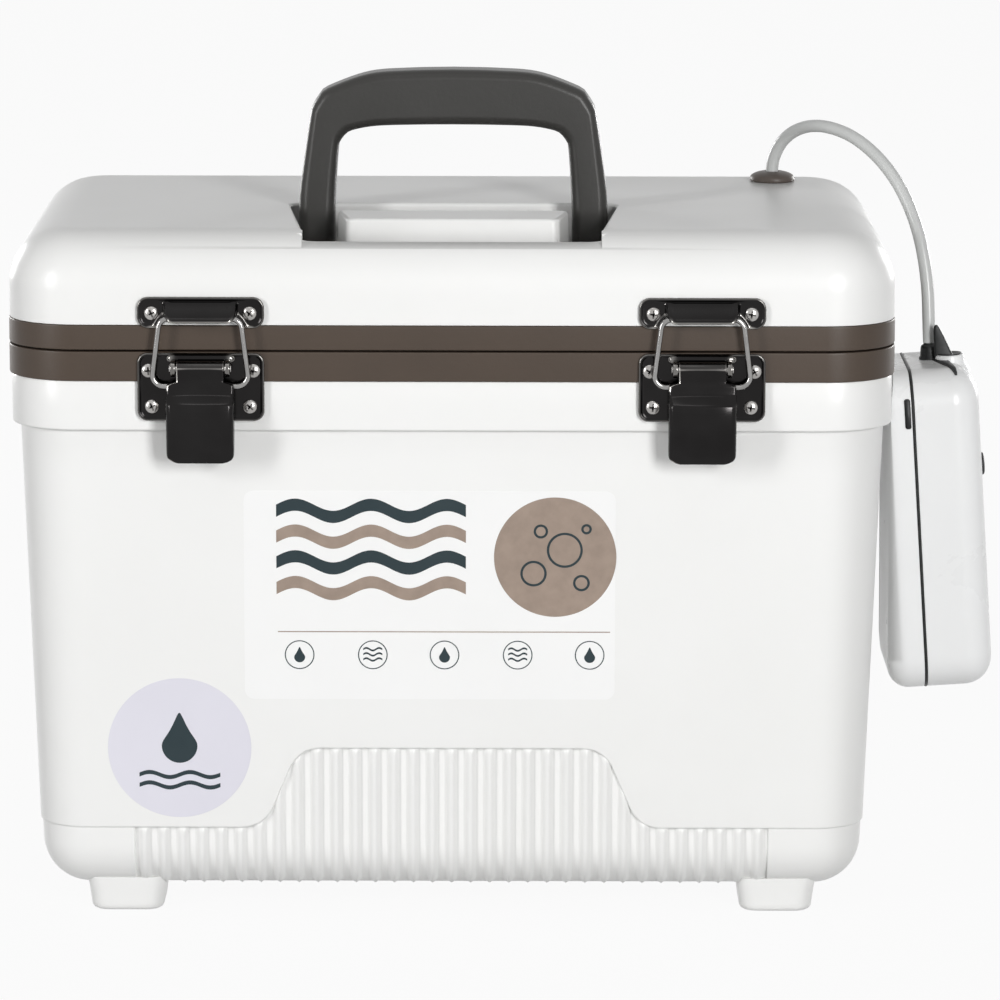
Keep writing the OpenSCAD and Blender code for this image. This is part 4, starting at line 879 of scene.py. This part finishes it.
def buildHandle():
    half = handleStations()
    xo, xi = handle["halfWidth"], handle["halfWidth"] - handle["leg"]
    radius = handle["thick"] / 2
    rings = []
    for i in range(9):  # rounded foot of the leg, about the pivot
        a = radians(84 - 84 * i / 8)
        pull = 1.2 * (1 - cos(a))
        rings.append(handleSection((xo - pull, -radius * sin(a)), (xi + pull, -radius * sin(a)),
                                   radius * cos(a)))
    for outer, inner in half[1:]:
        rings.append(handleSection(outer, inner, radius))
    middle = handleSection((0, handle["height"]), (0, handle["height"] - handle["grip"]), radius)
    mirrored = [[(-x, y, z) for x, y, z in ring] for ring in reversed(rings)]
    piece = makePiece("handle", loft(rings + [middle] + mirrored), "handle", 50)
    for s in (-1, 1):
        pin = [(s * x, handle["axisY"], handle["axisZ"]) for x in handle["pinReach"]]
        carve(piece, tubeForm(pin, handle["pinHole"], (0, 1, 0), 24))
    smoothMesh(piece.data, 50)
    return settle(evenNormals(piece), "handle", "handle", "handle")


buildHandle()
refineNode("handle_pins", "screw", "lid", 0.3)
print("handle made")

# latches

latch = dict(leverY=-118.1, leverZ=237.0, crank=7.3, barTop=28.2, topX=16.7, lowX=20.2, bend=4.6, wire=1.15,
             pad=28, sheet=1.3, plateWidth=52.5, plateY=-112.5, faceY=-113.7, keeperLow=253.2,
             keeperHigh=266.2, keeperCorner=4.6, baseLow=214.5, baseHigh=242.9, baseCorner=4.2,
             hoodHalf=15.6, hoodFlat=12.2, hoodOut=8.6, hoodLip=256.8, hoodRise=7.6, ridgeHalf=14.3,
             ridgeRadius=2.2, ear=3.4)


def bentPath(points, radius, steps=8):
    points = [Vector(p) for p in points]
    path = [points[0]]
    for a, b, c in zip(points, points[1:], points[2:]):
        u, v = (a - b).normalized(), (c - b).normalized()
        half = acos(max(-1, min(1, u.dot(v)))) / 2
        centre = b + (u + v).normalized() * radius / sin(half)
        start, end = b + u * radius / tan(half) - centre, b + v * radius / tan(half) - centre
        sweep = pi - 2 * half
        path += [centre + (sin((1 - i / steps) * sweep) * start + sin(i / steps * sweep) * end)
                 / sin(sweep) for i in range(steps + 1)]
    return path + [points[-1]]


def bailForm():
    footX, wire = latch["pad"] / 2 - 1.4 - 0.4, latch["wire"]
    path = bentPath([(-footX - 1, 0, 0), (-latch["lowX"], 0, 0), (-latch["topX"], 0, latch["barTop"]),
                     (latch["topX"], 0, latch["barTop"]), (latch["lowX"], 0, 0), (footX + 1, 0, 0)],
                    latch["bend"])
    bars = [tubeForm(path, wire * 0.99, (0, 1, 0), 18)]
    for s in (-1, 1):  # the bent ends, which turn in the lever
        pin = [(s * (footX + out), 0, 0) for out in (0, 0.3, 2.6)]
        bars.append(tubeForm(pin, wire, (0, 1, 0), 18))
    place = Vector((0, latch["leverY"], latch["leverZ"] - latch["crank"]))
    return movedForm(joinForms(*bars), lambda v: v + place)


def leverSection(half, front, rounding, back, crown):
    left = [(-half, back), (-half, (back + front - rounding) / 2)]
    left += [(-half + rounding - rounding * cosine(a), front - rounding + rounding * sine(a))
             for a in range(0, 91, 18)]
    left += [(u * (half - rounding), front) for u in (-0.6, -0.25)]
    right = [(-u, v) for u, v in reversed(left)]
    return [(u, v + crown * (0.7 - (u / half) ** 2) if v > back + 0.01 else v) for u, v in left + right]


def leverForm():
    # stations down the lever: height under the axis, front, back of the sides, half width, side round, crown
    stations = [(0.6, 3.30, 1.95, 9.8, 0.5, 0), (-2, 3.36, 2.0, 9.8, 0.6, 0),
                (-4.3, 3.45, 2.1, 9.8, 0.7, 0), (-5.2, 3.55, 2.1, 9.9, 0.8, 0),
                (-5.9, 3.65, 0.2, 12.4, 0.9, 0), (-6.6, 3.8, -1.2, 13.8, 1.0, 0.0),
                (-7.8, 3.95, -2.1, 14, 1.1, 0.0), (-9.3, 4.2, -2.1, 14, 1.2, 0.0),
                (-10.3, 4.6, -2.05, 14, 1.3, 0.2), (-11.5, 5.6, -2.0, 14, 1.5, 0.5),
                (-12.8, 6.7, -2.0, 14, 1.8, 0.7), (-14.1, 7.7, -1.9, 14, 2.1, 0.8),
                (-15.2, 7.95, -1.9, 14, 2.2, 0.8), (-18, 8.15, -1.8, 14, 2.3, 0.8),
                (-22, 8.2, -1.7, 14, 2.4, 0.8), (-26, 8.05, -1.6, 14, 2.6, 0.8),
                (-29, 7.6, -1.5, 14, 2.6, 0.7), (-31.4, 7.1, -0.6, 14, 2.4, 0.6),
                (-33.4, 6.3, 1.2, 14, 2.0, 0.4), (-35.4, 5.5, 2.6, 13.9, 1.6, 0.2),
                (-36.6, 5.05, 3.0, 13.6, 1.3, 0.1), (-37.6, 4.75, 3.1, 12.8, 1.1, 0),
                (-38.4, 4.5, 3.2, 11.4, 0.9, 0), (-38.9, 4.3, 3.3, 9.6, 0.7, 0)]
    path = smoothPath([(z, front, 0) for z, front, *rest in stations], 3)
    sheet = latch["sheet"]
    rings = []
    for index, spot in enumerate(path):
        k = min(index // 3, len(stations) - 2)
        t = index / 3 - k
        back, half, rounding, crown = ((1 - t) * stations[k][j] + t * stations[k + 1][j]
                                       for j in (2, 3, 4, 5))
        z, front = spot.x, spot.y
        back = min(back, front - sheet)
        rounding = min(rounding, front - back - 0.05, half * 0.5)
        outer = leverSection(half, front, rounding, back, crown)
        inner = leverSection(half - sheet, front - sheet, max(rounding - sheet, 0.15), back, crown)
        rings.append([(u, latch["leverY"] - v, latch["leverZ"] + z) for u, v in outer + inner[::-1]])
    barrel = [[(x, latch["leverY"] + y, latch["leverZ"] + z) for y, z in circle(r, 36)]
              for r, x in ((1.36, -9.8), (3.0, -9.8), (3.25, -9.6), (3.3, -9.3), (3.3, 9.3), (3.25, 9.6),
                           (3.0, 9.8), (1.36, 9.8))]
    return joinForms(loft(rings), loft(barrel, loop=True))


def plateForm(low, high, radius):  # pressed plate with a raised rim, facing the front
    rings = []
    for inset, out in ((0.4, 0), (0.12, 0.12), (0, 0.45), (0, 1.1), (0.12, 1.45), (0.4, 1.68), (0.75, 1.74),
                       (1.1, 1.66), (1.45, 1.42), (1.85, 1.24), (2.4, 1.2), (3.2, 1.2)):
        outline = roundRect(latch["plateWidth"] - 2 * inset, high - low - 2 * inset, radius - inset)
        rings.append([(x, latch["plateY"] - out, (low + high) / 2 + z) for x, z in outline])
    return loft(rings)


def hoodForm():
    # the keeper's pressed hood: each station across has its outline from the plate down to the lip
    rings = []
    for i in range(41):
        x = latch["hoodHalf"] * sine(-90 + 180 * i / 40)
        side = max(abs(x) - latch["hoodFlat"], 0) / (latch["hoodHalf"] - latch["hoodFlat"])
        out = 0.2 + (latch["hoodOut"] - 0.2) * max(cos(pi / 2 * side), 0) ** 0.6
        lip = latch["hoodLip"] + 3.0 * side ** 1.2
        rise = latch["hoodRise"] * (1 - 0.5 * side ** 2)
        outer, inner = [(-0.8, lip + rise)], [(-0.8, lip + rise - latch["sheet"])]
        for k in range(13):
            u = k / 12
            bulge = out * sin(pi / 2 * u) ** 1.5
            outer.append((bulge, lip + rise * (1 - u)))
            inner.append((max(bulge - 1.25, -0.5), lip + (rise - latch["sheet"]) * (1 - u)))
        tip = [(out - 0.3, lip - 0.42), (out - 0.85, lip - 0.42)]
        rings.append([(x, latch["faceY"] - y, z) for y, z in outer + tip + inner[::-1]])
    return loft(rings)


def buildKeeper(side, shift):
    plate = plateForm(latch["keeperLow"], latch["keeperHigh"], latch["keeperCorner"])
    keeper = makePiece("keeper" + side.capitalize(), movedForm(plate, shift), "latch", 50)
    notch = [(-18.8, 250), (18.8, 250), (18.8, 253.2), (17.2, 255.6), (15, 258), (-15, 258), (-17.2, 255.6),
             (-18.8, 253.2)]
    carve(keeper, movedForm(loft([[(x, y, z) for x, z in notch] for y in (-120, -105)]), shift))
    smoothMesh(keeper.data, 50)
    joinPieces(keeper, makePiece("hood", movedForm(hoodForm(), shift), "latch", 60))
    for s in (-1, 1):  # pressed ridges that run from the hood's ends to the plate's lower edge
        spots = ((14.6, 259.6), (16.6, 258.0), (18.2, 255.9), (19.5, 253.7))
        line = [(s * x, latch["faceY"], z) for x, z in spots]
        ridge = tubeForm(smoothPath(line, 5), 1.1, (0, 1, 0), 14, 0.7)
        joinPieces(keeper, makePiece("ridge", movedForm(ridge, shift), "latch"))
    settle(evenNormals(keeper), "lid", "latch", "keeper_" + side)


def buildBase(side, shift):
    low, high, ear = latch["baseLow"], latch["baseHigh"], latch["ear"]
    ridge = []
    for a in range(-90, 91, 15):
        r = latch["ridgeRadius"] * sqrt(max(1 - abs(sine(a)) ** 14, 0.02))
        ridge.append([(latch["ridgeHalf"] * sine(a), latch["faceY"] + 0.3 - y, high - 2.3 + z)
                      for y, z in circle(r, 24)])
    base = joinForms(plateForm(low, high, latch["baseCorner"]), loft(ridge))
    piece = makePiece("latchBase" + side.capitalize(), movedForm(base, shift), "latch", 50)
    foot = latch["leverY"] - latch["faceY"] - 0.4
    outline = arcPoints((0, 0), ear, -90, 90, 18) + [(foot, ear), (foot, -ear)]
    ears = [[(x, latch["leverY"] - y, latch["leverZ"] + z) for y, z in outline]
            for x in (-12.2, -10.3, 10.3, 12.2)]
    ears = makePiece("ears", movedForm(joinForms(loft(ears[:2]), loft(ears[2:])), shift), "latch")
    joinPieces(piece, roundEdges(ears, 0.35))
    settle(evenNormals(piece), "tub", "latch", "latch_base_" + side)


def buildLatches():
    for side, sign in (("left", -1), ("right", 1)):
        def shift(v, dx=sign * box["latchX"]):
            return v + Vector((dx, 0, 0))
        for name, form, key, sharp in (("bail", bailForm(), "wire", 60),
                                       ("lever", leverForm(), "latch", 48)):
            node = name + "_" + side
            addPiece(camelName(node), movedForm(form, shift), key, node, node, sharp=sharp)
        buildKeeper(side, shift)
        buildBase(side, shift)
    refineNode("lever_pins", "screw", "tub", 0.15)


buildLatches()

# screws

screws = dict(headRadius=2.7, headHeight=1.4, shankRadius=1.28, shankLength=10, slotWidth=0.75, plateOut=1.2,
              leafOut=1.5, near=20.25, far=21.65, leaf=13.6)


def buildScrewTree():  # cross-slotted heads on short shanks, each turned its own way
    tree, given, out = newGroup("crossScrews", "GeometryNodeTree",
                                {"Geometry": "Geometry", "Head Radius": 0.0027, "Head Height": 0.0014,
                                 "Shank Radius": 0.0013, "Shank Length": 0.01, "Slot Width": 0.0007,
                                 "Facing": 0.0, "Finish": "Material"}, {"Geometry": "Geometry"})

    def vector(x, y, z):
        return addNode(tree, "ShaderNodeCombineXYZ", {0: x, 1: y, 2: z}).outputs[0]

    def moved(geometry, **inputs):
        return addNode(tree, "GeometryNodeTransform", {"Geometry": geometry, **inputs}).outputs[0]

    def times(value, share):
        return maths(tree, "MULTIPLY", value, share)

    height, radius, shank = given["Head Height"], given["Head Radius"], given["Shank Length"]
    blank = addNode(tree, "GeometryNodeMeshCylinder", {"Vertices": 28, "Radius": radius, "Depth": height})
    blank = moved(blank.outputs["Mesh"], Translation=vector(0.0, 0.0, times(height, 0.5)))
    wide = times(radius, 1.13)
    dome = addNode(tree, "GeometryNodeMeshUVSphere", {"Segments": 28, "Rings": 20, "Radius": wide})
    dome = moved(dome.outputs["Mesh"], Scale=vector(1.0, 1.0, maths(tree, "DIVIDE", height, wide)))
    head = addNode(tree, "GeometryNodeMeshBoolean", operation="INTERSECT")
    slotted = addNode(tree, "GeometryNodeMeshBoolean", operation="DIFFERENCE")
    for part in (blank, dome):
        tree.links.new(part, head.inputs[1])
    tree.links.new(head.outputs[0], slotted.inputs[0])
    long, thin = times(radius, 1.25), given["Slot Width"]
    for sides in ((long, thin), (thin, long)):
        cut = addNode(tree, "GeometryNodeMeshCube", {"Size": vector(*sides, height)})
        cut = moved(cut.outputs["Mesh"], Translation=vector(0.0, 0.0, times(height, 0.95)))
        tree.links.new(cut, slotted.inputs[1])
    rod = addNode(tree, "GeometryNodeMeshCylinder", {"Vertices": 20, "Radius": given["Shank Radius"],
                                                     "Depth": shank})
    down = vector(0.0, 0.0, maths(tree, "MULTIPLY_ADD", shank, -0.5, 0.0002))
    whole = addNode(tree, "GeometryNodeJoinGeometry")
    for part in (slotted.outputs[0], moved(rod.outputs["Mesh"], Translation=down)):
        tree.links.new(part, whole.inputs[0])
    upright = moved(whole.outputs[0], Rotation=(radians(90), 0, 0))
    spin = addNode(tree, "FunctionNodeRandomValue", {"Min": 0.0, "Max": pi / 2, "Seed": 7},
                   data_type="FLOAT")
    spinValue = [o for o in spin.outputs if o.enabled][0]
    points = addNode(tree, "GeometryNodeInstanceOnPoints",
                     {"Points": given["Geometry"], "Instance": upright,
                      "Rotation": vector(0.0, spinValue, given["Facing"])})
    return endTree(tree, points.outputs[0], given, out)


screwTree = buildScrewTree()


def placeScrews(node, body, facing, points):
    piece = newPiece(camelName(node), points)
    values = {label: screws[key] * mm for label, key in
              (("Head Radius", "headRadius"), ("Head Height", "headHeight"), ("Shank Radius", "shankRadius"),
               ("Shank Length", "shankLength"), ("Slot Width", "slotWidth"))}
    runTree(piece, screwTree, {**values, "Facing": radians(facing), "Finish": finishes["screw"]})
    smoothMesh(piece.data, 35)
    return settle(piece, body, "screw", node)


def buildScrews():
    faceY, leafY = -box["depth"] / 2 - screws["plateOut"], box["depth"] / 2 + screws["leafOut"]
    near, far, leaf, seam = screws["near"], screws["far"], screws["leaf"], box["seam"]
    for node, body, facing, y, rows in (
            ("latch_base_screws", "tub", 0, faceY, ((near, seam - 23), (far, seam - 8))),
            ("keeper_screws", "lid", 0, faceY, ((near, seam + 15.9),)),
            ("hinge_lower_screws", "tub", 180, leafY, ((leaf, box["bandLow"] - 4.7),)),
            ("hinge_upper_screws", "lid", 180, leafY, ((leaf, box["bandUp"] + 4.3),))):
        placeScrews(node, body, facing, [(s * box["latchX"] + t * apart, y, z) for apart, z in rows
                                         for s in (-1, 1) for t in (-1, 1)])


buildScrews()
refineNode("hinge_lower_leaves", "latch", "tub", 0.3)
refineNode("hinge_upper_leaves", "latch", "lid", 0.3)
refineNode("hinge_pins", "screw", "tub", 0.25)
print("latches, hinges and screws made")

# air pump

pump = dict(place=(195.6, 0, 222.5), lean=3.8, height=139, depth=75, back=16, front=29, corner=15, wall=2.2,
            seal=1.2, backRound=9, frontRound=12, backFlat=4, frontFlat=10, slopeHeight=50, slopeTop=7,
            buttonZ=-47, buttonRadius=5, nozzleX=11.1, nozzleY=3, cupX=19, cupY=-4, innerRows=6)
pumpTurn = Matrix.Rotation(radians(-pump["lean"]), 3, "Y")


def pumpPlace(v):
    return Vector(pump["place"]) + pumpTurn @ v


def pumpPiece(name, key, form, node, sharp=50):
    return addPiece(name, movedForm(form, pumpPlace), key, "tub", node, sharp=sharp)


def caseRing(x, inset):
    outline = roundRect(pump["depth"] - 2 * inset, pump["height"] - 2 * inset,
                        max(pump["corner"] - inset, 3), 10)
    return [(x, u, v - pump["height"] / 2) for u, v in outline]


def caseRows(side):
    # (distance from the seam, inset): down the inside, round the seam's edge, up the outside
    reach, r, wall, s = pump[side], pump[side + "Round"], pump["wall"], pump["seal"] / 2
    rows = [(reach - wall, r + 0.5), (reach - wall, r - 1)]
    rows += [(reach - r + x, wall + inset) for x, inset in quarterRound(r - wall, (60, 30, 0))]
    rows += [(s, wall), (s, 0.4), (s + 0.12, 0.12), (s + 0.45, 0), (pump[side + "Flat"], 0)]
    rows += [(reach - r + x, inset) for x, inset in quarterRound(r, range(0, 91, 6))]
    return rows + [(reach, r + 2)]


def buttonRing(x, radius):
    return [(x, y, z) for y, z in circle(radius, 40, 0, pump["buttonZ"])]


def buildPumpFront():
    shell = loft([caseRing(x, inset) for x, inset in caseRows("front")])
    piece = makePiece("pumpFrontShell", movedForm(shell, pumpPlace), "pumpCase")
    hole = [buttonRing(x, pump["buttonRadius"] * k) for x, k in ((20, 1.08), (28.4, 1.08), (29.5, 1.3))]
    carve(piece, movedForm(loft(hole), pumpPlace))
    tidyPiece(piece, 35)
    settle(evenNormals(piece), "tub", "pump_case", "pump_front_shell")
    # cup that holds the port plug, flared into the case
    profile = [(4.6, -5), (4.6, 2.0), (4.85, 2.45), (5.4, 2.6), (6.0, 2.3), (6.25, 1.6), (6.3, 0.6),
               (6.5, -0.6), (7.1, -2.0), (8.2, -3.6), (8.6, -5)]
    cup = revolve(profile, (pump["cupX"], pump["cupY"], 0))
    addPiece("pumpCup", movedForm(cup, pumpPlace), "pumpCase", "tub", slotName="pump_case")


def buildPumpBack():
    slope = (pump["back"] - pump["slopeTop"]) / pump["slopeHeight"]
    rings = [caseRing(-x, inset) for x, inset in caseRows("back")]
    for index, ring in enumerate(rings):
        for k, (x, y, z) in enumerate(ring):  # the back slopes in towards the top
            limit = z * slope - pump["slopeTop"] + (pump["wall"] if index < pump["innerRows"] else 0)
            ring[k] = (max(x, limit), y, z)
    addPiece("pumpBackShell", movedForm(loft(rings), pumpPlace), "pumpCase", "tub", "pump_back_shell",
             slotName="pump_case", sharp=42, even=True)


def buildPumpSeal():
    s = pump["seal"] / 2
    seal = [caseRing(x, inset) for x, inset in ((-s, 0.15), (-s * 0.6, -0.12), (0, -0.22), (s * 0.6, -0.12),
                                                (s, 0.15), (s, 2.2), (-s, 2.2))]
    tab = []  # latch tab on the front side of the case
    for out, grow in ((-0.6, 0), (0.35, 0), (0.6, -0.3)):
        outline = roundRect(2.6 + 2 * grow, 13 + 2 * grow, 1.0 + grow, 4)
        tab.append([(-2.4 + u, -pump["depth"] / 2 - out, -17 + v) for u, v in outline])
    pumpPiece("pumpSeal", "seal", joinForms(loft(seal, loop=True), loft(tab)), "pump_seal")


def buildPumpOutlet():
    profile = [(0.02, -12), (3, -12), (3, -0.3), (4.9, 0.05), (4.85, 0.8), (4.3, 1.5), (4.15, 3.4),
               (3.9, 5.2), (3.5, 6.0), (2.9, 6.3), (2.5, 6.9), (0.02, 6.9)]
    boot = revolve(profile, (pump["nozzleX"], pump["nozzleY"], 0), 36, closed=False)
    web = []  # rubber web that joins the boot to the plug and laps over the case's front edge
    for t in range(15):
        share = t / 14
        y = 6 - 37 * share
        left, right = 10.5 + 8.6 * share ** 1.3, 16.6 + 3.4 * share ** 0.8
        fall = max(0, -y - 25.5)
        drop = 12 - sqrt(max(144 - fall ** 2, 0))
        high = 0.9 if share < 0.95 else 0.4
        outline = ((left, -1.2), (right, -1.2), (right, high * 0.6), (right - 0.5, high), (left + 0.5, high),
                   (left, high * 0.6))
        web.append([(x, y, z - drop) for x, z in outline])
    pumpPiece("airOutlet", "seal", joinForms(boot, loft(web)), "air_outlet")


def buildPortPlug():
    cx, cy = pump["cupX"], pump["cupY"]
    profile = [(0.02, -4), (4.5, -4), (4.5, 1.2), (5.3, 2.75), (5.2, 3.1), (4.6, 3.0), (3.2, 2.5),
               (0.02, 2.4)]
    disc = revolve(profile, (cx, cy, 0), 36, closed=False)
    fin = []
    for z, left, right, half in ((1.2, -6.4, 2.6, 1.5), (2.6, -6.6, 1.4, 1.35), (4.2, -6.5, 0.6, 1.2),
                                 (7, -6.45, -0.5, 1.1), (10, -6.45, -1.75, 1.05), (13, -6.4, -3.1, 1.0),
                                 (14.8, -6.1, -4.0, 0.9), (15.6, -5.6, -4.6, 0.6)):
        outline = roundRect(right - left, 2 * half, half * 0.9, 4)
        fin.append([(cx + (left + right) / 2 + u, cy + v, z) for u, v in outline])
    pumpPiece("portPlug", "seal", joinForms(disc, loft(fin)), "port_plug")


def buildPumpButton():
    out, r = pump["front"], pump["buttonRadius"]
    rings = [buttonRing(out + x, radius) for x, radius in
             ((-5, r + 1.4), (-2.8, r + 1.4), (-2.8, r), (1.9, r), (2.6, r - 0.3), (2.9, r - 1.0),
              (2.6, r - 1.5), (2.5, 0.05))]
    addPiece("pumpButton", movedForm(loft(rings), pumpPlace), "button", "button", "pump_button")


buildPumpFront()
buildPumpBack()
buildPumpSeal()
buildPumpOutlet()
buildPortPlug()
buildPumpButton()
refineNode("pump_clip", "pumpCase", "tub", 0.35, slotName="pump_case")
refineNode("pump_bracket", "pumpCase", "tub", 0.25, slotName="pump_case")
print("pump made")

# front labels: plain shapes, no lettering

labels = dict(film=(-86.5, 68.3, 94.9, 184.0), gap=0.02, filmThick=0.12, inkThick=0.07, inkIn=0.03,
              badge=(43.2, 156.0, 25.5), capacity=(-114.1, 73.6, 30.1), ruleZ=123.7, iconZ=114.0,
              iconRadius=6.2, iconX=(-63.5, -32.9, -2.9, 27.7, 57.8), waveX=(-73, 6),
              waveZ=(173, 162, 151, 140), waveHeight=2.6)


def onPanel(outline, out):  # an (x, z) outline on the tub's tapered front
    return [(x, -bodyHalf(box["depth"] / 2, z) - out, z) for x, z in outline]


def panelForm(outline, start, thick):
    return loft([onPanel(outline, start), onPanel(outline, start + thick)])


def ringForm(x, z, radius, wide, start, thick):
    return loft([onPanel(circle(r, 64, x, z), out) for r, out in
                 ((radius, start), (radius, start + thick), (radius - wide, start + thick),
                  (radius - wide, start))], loop=True)


def waveShape(x0, x1, z, height, thick, waves, steps=60):
    def line(lift):
        return [(x0 + (x1 - x0) * i / steps, z + lift + height * sin(2 * pi * waves * i / steps))
                for i in range(steps + 1)]
    return line(0) + line(thick)[::-1]


def dropShape(x, z, radius):  # a water drop, tip up
    points = []
    for u, v in circle(1, 40):
        high = max(v, 0)
        points.append((x + radius * u * (1 - 0.55 * high ** 2), z + radius * v * (1 + 0.9 * high ** 3)))
    return points


def addLabel(name, key, *forms):
    addPiece(name, joinForms(*forms), key, "tub", slotName="shell")


def buildLabels():
    x0, x1, z0, z1 = labels["film"]
    gap, ink, rule = labels["gap"], labels["inkThick"], labels["ruleZ"]
    film = [((x0 + x1) / 2 + u, (z0 + z1) / 2 + v) for u, v in roundRect(x1 - x0, z1 - z0, 4, 6)]
    addLabel("labelFilm", "film", panelForm(film, gap, labels["filmThick"]))
    start = gap + labels["filmThick"] - labels["inkIn"]
    dark, taupe = [], []
    for index, z in enumerate(labels["waveZ"]):
        form = panelForm(waveShape(*labels["waveX"], z, labels["waveHeight"], 5.2, 2.5), start, ink)
        (dark if index % 2 == 0 else taupe).append(form)
    taupe.append(panelForm([(x0 + 14, rule), (x1 - 2, rule), (x1 - 2, rule + 0.45), (x0 + 14, rule + 0.45)],
                           start, ink))
    r, z = labels["iconRadius"], labels["iconZ"]
    for index, x in enumerate(labels["iconX"]):
        dark.append(ringForm(x, z, r, 0.45, start, ink))
        shapes = [dropShape(x, z - 1, 2.3)]
        if index % 2:
            shapes = [waveShape(x - 4, x + 4, z + lift, 0.55, 0.8, 1.5, 24) for lift in (-2.4, -0.2, 2.0)]
        dark += [panelForm(shape, start, ink) for shape in shapes]
    x, z, r = labels["badge"]
    addLabel("labelBadge", "inkTaupe", panelForm(circle(r, 96, x, z), start, ink))
    for dx, dz, size in ((-9, -7, 5.5), (4, 3, 7.5), (11, -11, 3.5), (-6, 11, 3), (13, 12, 2.2)):  # bubbles
        dark.append(ringForm(x + dx, z + dz, size, 1.0, start + ink - labels["inkIn"], ink))
    addLabel("labelDark", "inkDark", *dark)
    addLabel("labelTaupe", "inkTaupe", *taupe)
    x, z, r = labels["capacity"]
    addLabel("capacityDisc", "inkPale", panelForm(circle(r, 96, x, z), gap, labels["filmThick"]))
    shapes = [dropShape(x, z + 1, 7.5)]
    shapes += [waveShape(x - 17, x + 17, z - lift, 1.1, 1.8, 2, 48) for lift in (12.5, 17)]
    addLabel("capacityMarks", "inkDark", *[panelForm(shape, start, ink) for shape in shapes])


buildLabels()
print("labels made")

# hidden and carried-over solids

carried = dict(tub_foam="foam", lid_foam="foam", pump_bracket_screws="screw", pump_case_screws="screw",
               battery_cells="battery", battery_contacts="screw", pump_motor="motor", motor_crank="crank",
               air_chamber="chamber", pump_switch="switch")
for node, key in carried.items():
    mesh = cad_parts[node].data
    mesh.materials.clear()
    mesh.materials.append(finishes[key])

# stage, light and background

stage = dict(size=6.0, bendY=2.2, bendRadius=1.4, wallTop=4.0, floorGrey=0.50, glow=0.94, worldGrey=0.15,
             keyPower=40, fillPower=24, stripPower=0.9, rearPower=22)


def addSeen(tree):  # 1 where the camera sees the surface, itself or in another one
    rays = addNode(tree, "ShaderNodeLightPath").outputs
    inner = maths(tree, "MAXIMUM", rays["Is Glossy Ray"], rays["Is Transmission Ray"])
    return maths(tree, "MAXIMUM", rays["Is Camera Ray"], inner)


def buildStage():
    size, y, r = stage["size"], stage["bendY"], stage["bendRadius"]
    profile = [(-size, 0), (y, 0)]
    profile += [(y + r * sine(a), r - r * cosine(a)) for a in range(6, 91, 6)] + [(y + r, stage["wallTop"])]
    verts = [(s * size, y, z) for y, z in profile for s in (-1, 1)]
    faces = [(2 * i, 2 * i + 1, 2 * i + 3, 2 * i + 2) for i in range(len(profile) - 1)]
    piece = newPiece("floor", verts, faces, unit=1)
    smoothMesh(piece.data)
    material = bpy.data.materials.new("paleFloor")
    material.use_nodes = True
    tree, grey = material.node_tree, stage["floorGrey"]
    shader = tree.nodes["Principled BSDF"]
    for socket, value in (("Base Color", (grey, grey, grey, 1)), ("Roughness", 0.9),
                          ("Specular IOR Level", 0.1)):
        shader.inputs[socket].default_value = value
    glow = addNode(tree, "ShaderNodeEmission", {"Color": (1, 1, 1, 1), "Strength": 1.0})
    share = maths(tree, "MULTIPLY", addSeen(tree), stage["glow"])
    mix = addNode(tree, "ShaderNodeMixShader", {0: share, 1: shader.outputs[0], 2: glow.outputs[0]})
    tree.links.new(mix.outputs[0], tree.nodes["Material Output"].inputs["Surface"])
    piece.data.materials.append(material)


def buildWorld():
    world = bpy.data.worlds.new("studio")
    scene.world = world
    world.use_nodes = True
    tree, grey = world.node_tree, stage["worldGrey"]
    dim = tree.nodes["Background"]
    dim.inputs["Color"].default_value = (grey, grey, grey, 1)
    bright = addNode(tree, "ShaderNodeBackground", {"Color": (1, 1, 1, 1), "Strength": 1.0})
    mix = addNode(tree, "ShaderNodeMixShader", {0: addSeen(tree), 1: dim.outputs[0], 2: bright.outputs[0]})
    tree.links.new(mix.outputs[0], tree.nodes["World Output"].inputs["Surface"])


def addLamp(name, place, target, width, height, power):
    data = bpy.data.lights.new(name, "AREA")
    data.shape, data.size, data.size_y, data.energy = "RECTANGLE", width, height, power
    direction = Vector(target) - Vector(place)
    turn = direction.to_track_quat("-Z", "Y").to_matrix().to_4x4()
    linkPiece(name, data).matrix_world = Matrix.Translation(place) @ turn


buildStage()
buildWorld()
addLamp("keyLamp", (1.0, -2.3, 0.75), (0, 0, 0.15), 0.5, 1.0, stage["keyPower"])
addLamp("fillLamp", (-1.8, -1.6, 0.75), (0, 0, 0.15), 0.4, 1.1, stage["fillPower"])
for side in (-1, 1):
    addLamp("rearLamp", (side * 1.5, 2.0, 0.5), (0, 0, 0.15), 0.5, 0.7, stage["rearPower"])
addLamp("stripLamp", (-0.1, -0.9, 2.0), (0, -0.1, 0.25), 0.6, 0.15, stage["stripPower"])
scene.view_settings.view_transform = "Standard"
print("stage made")
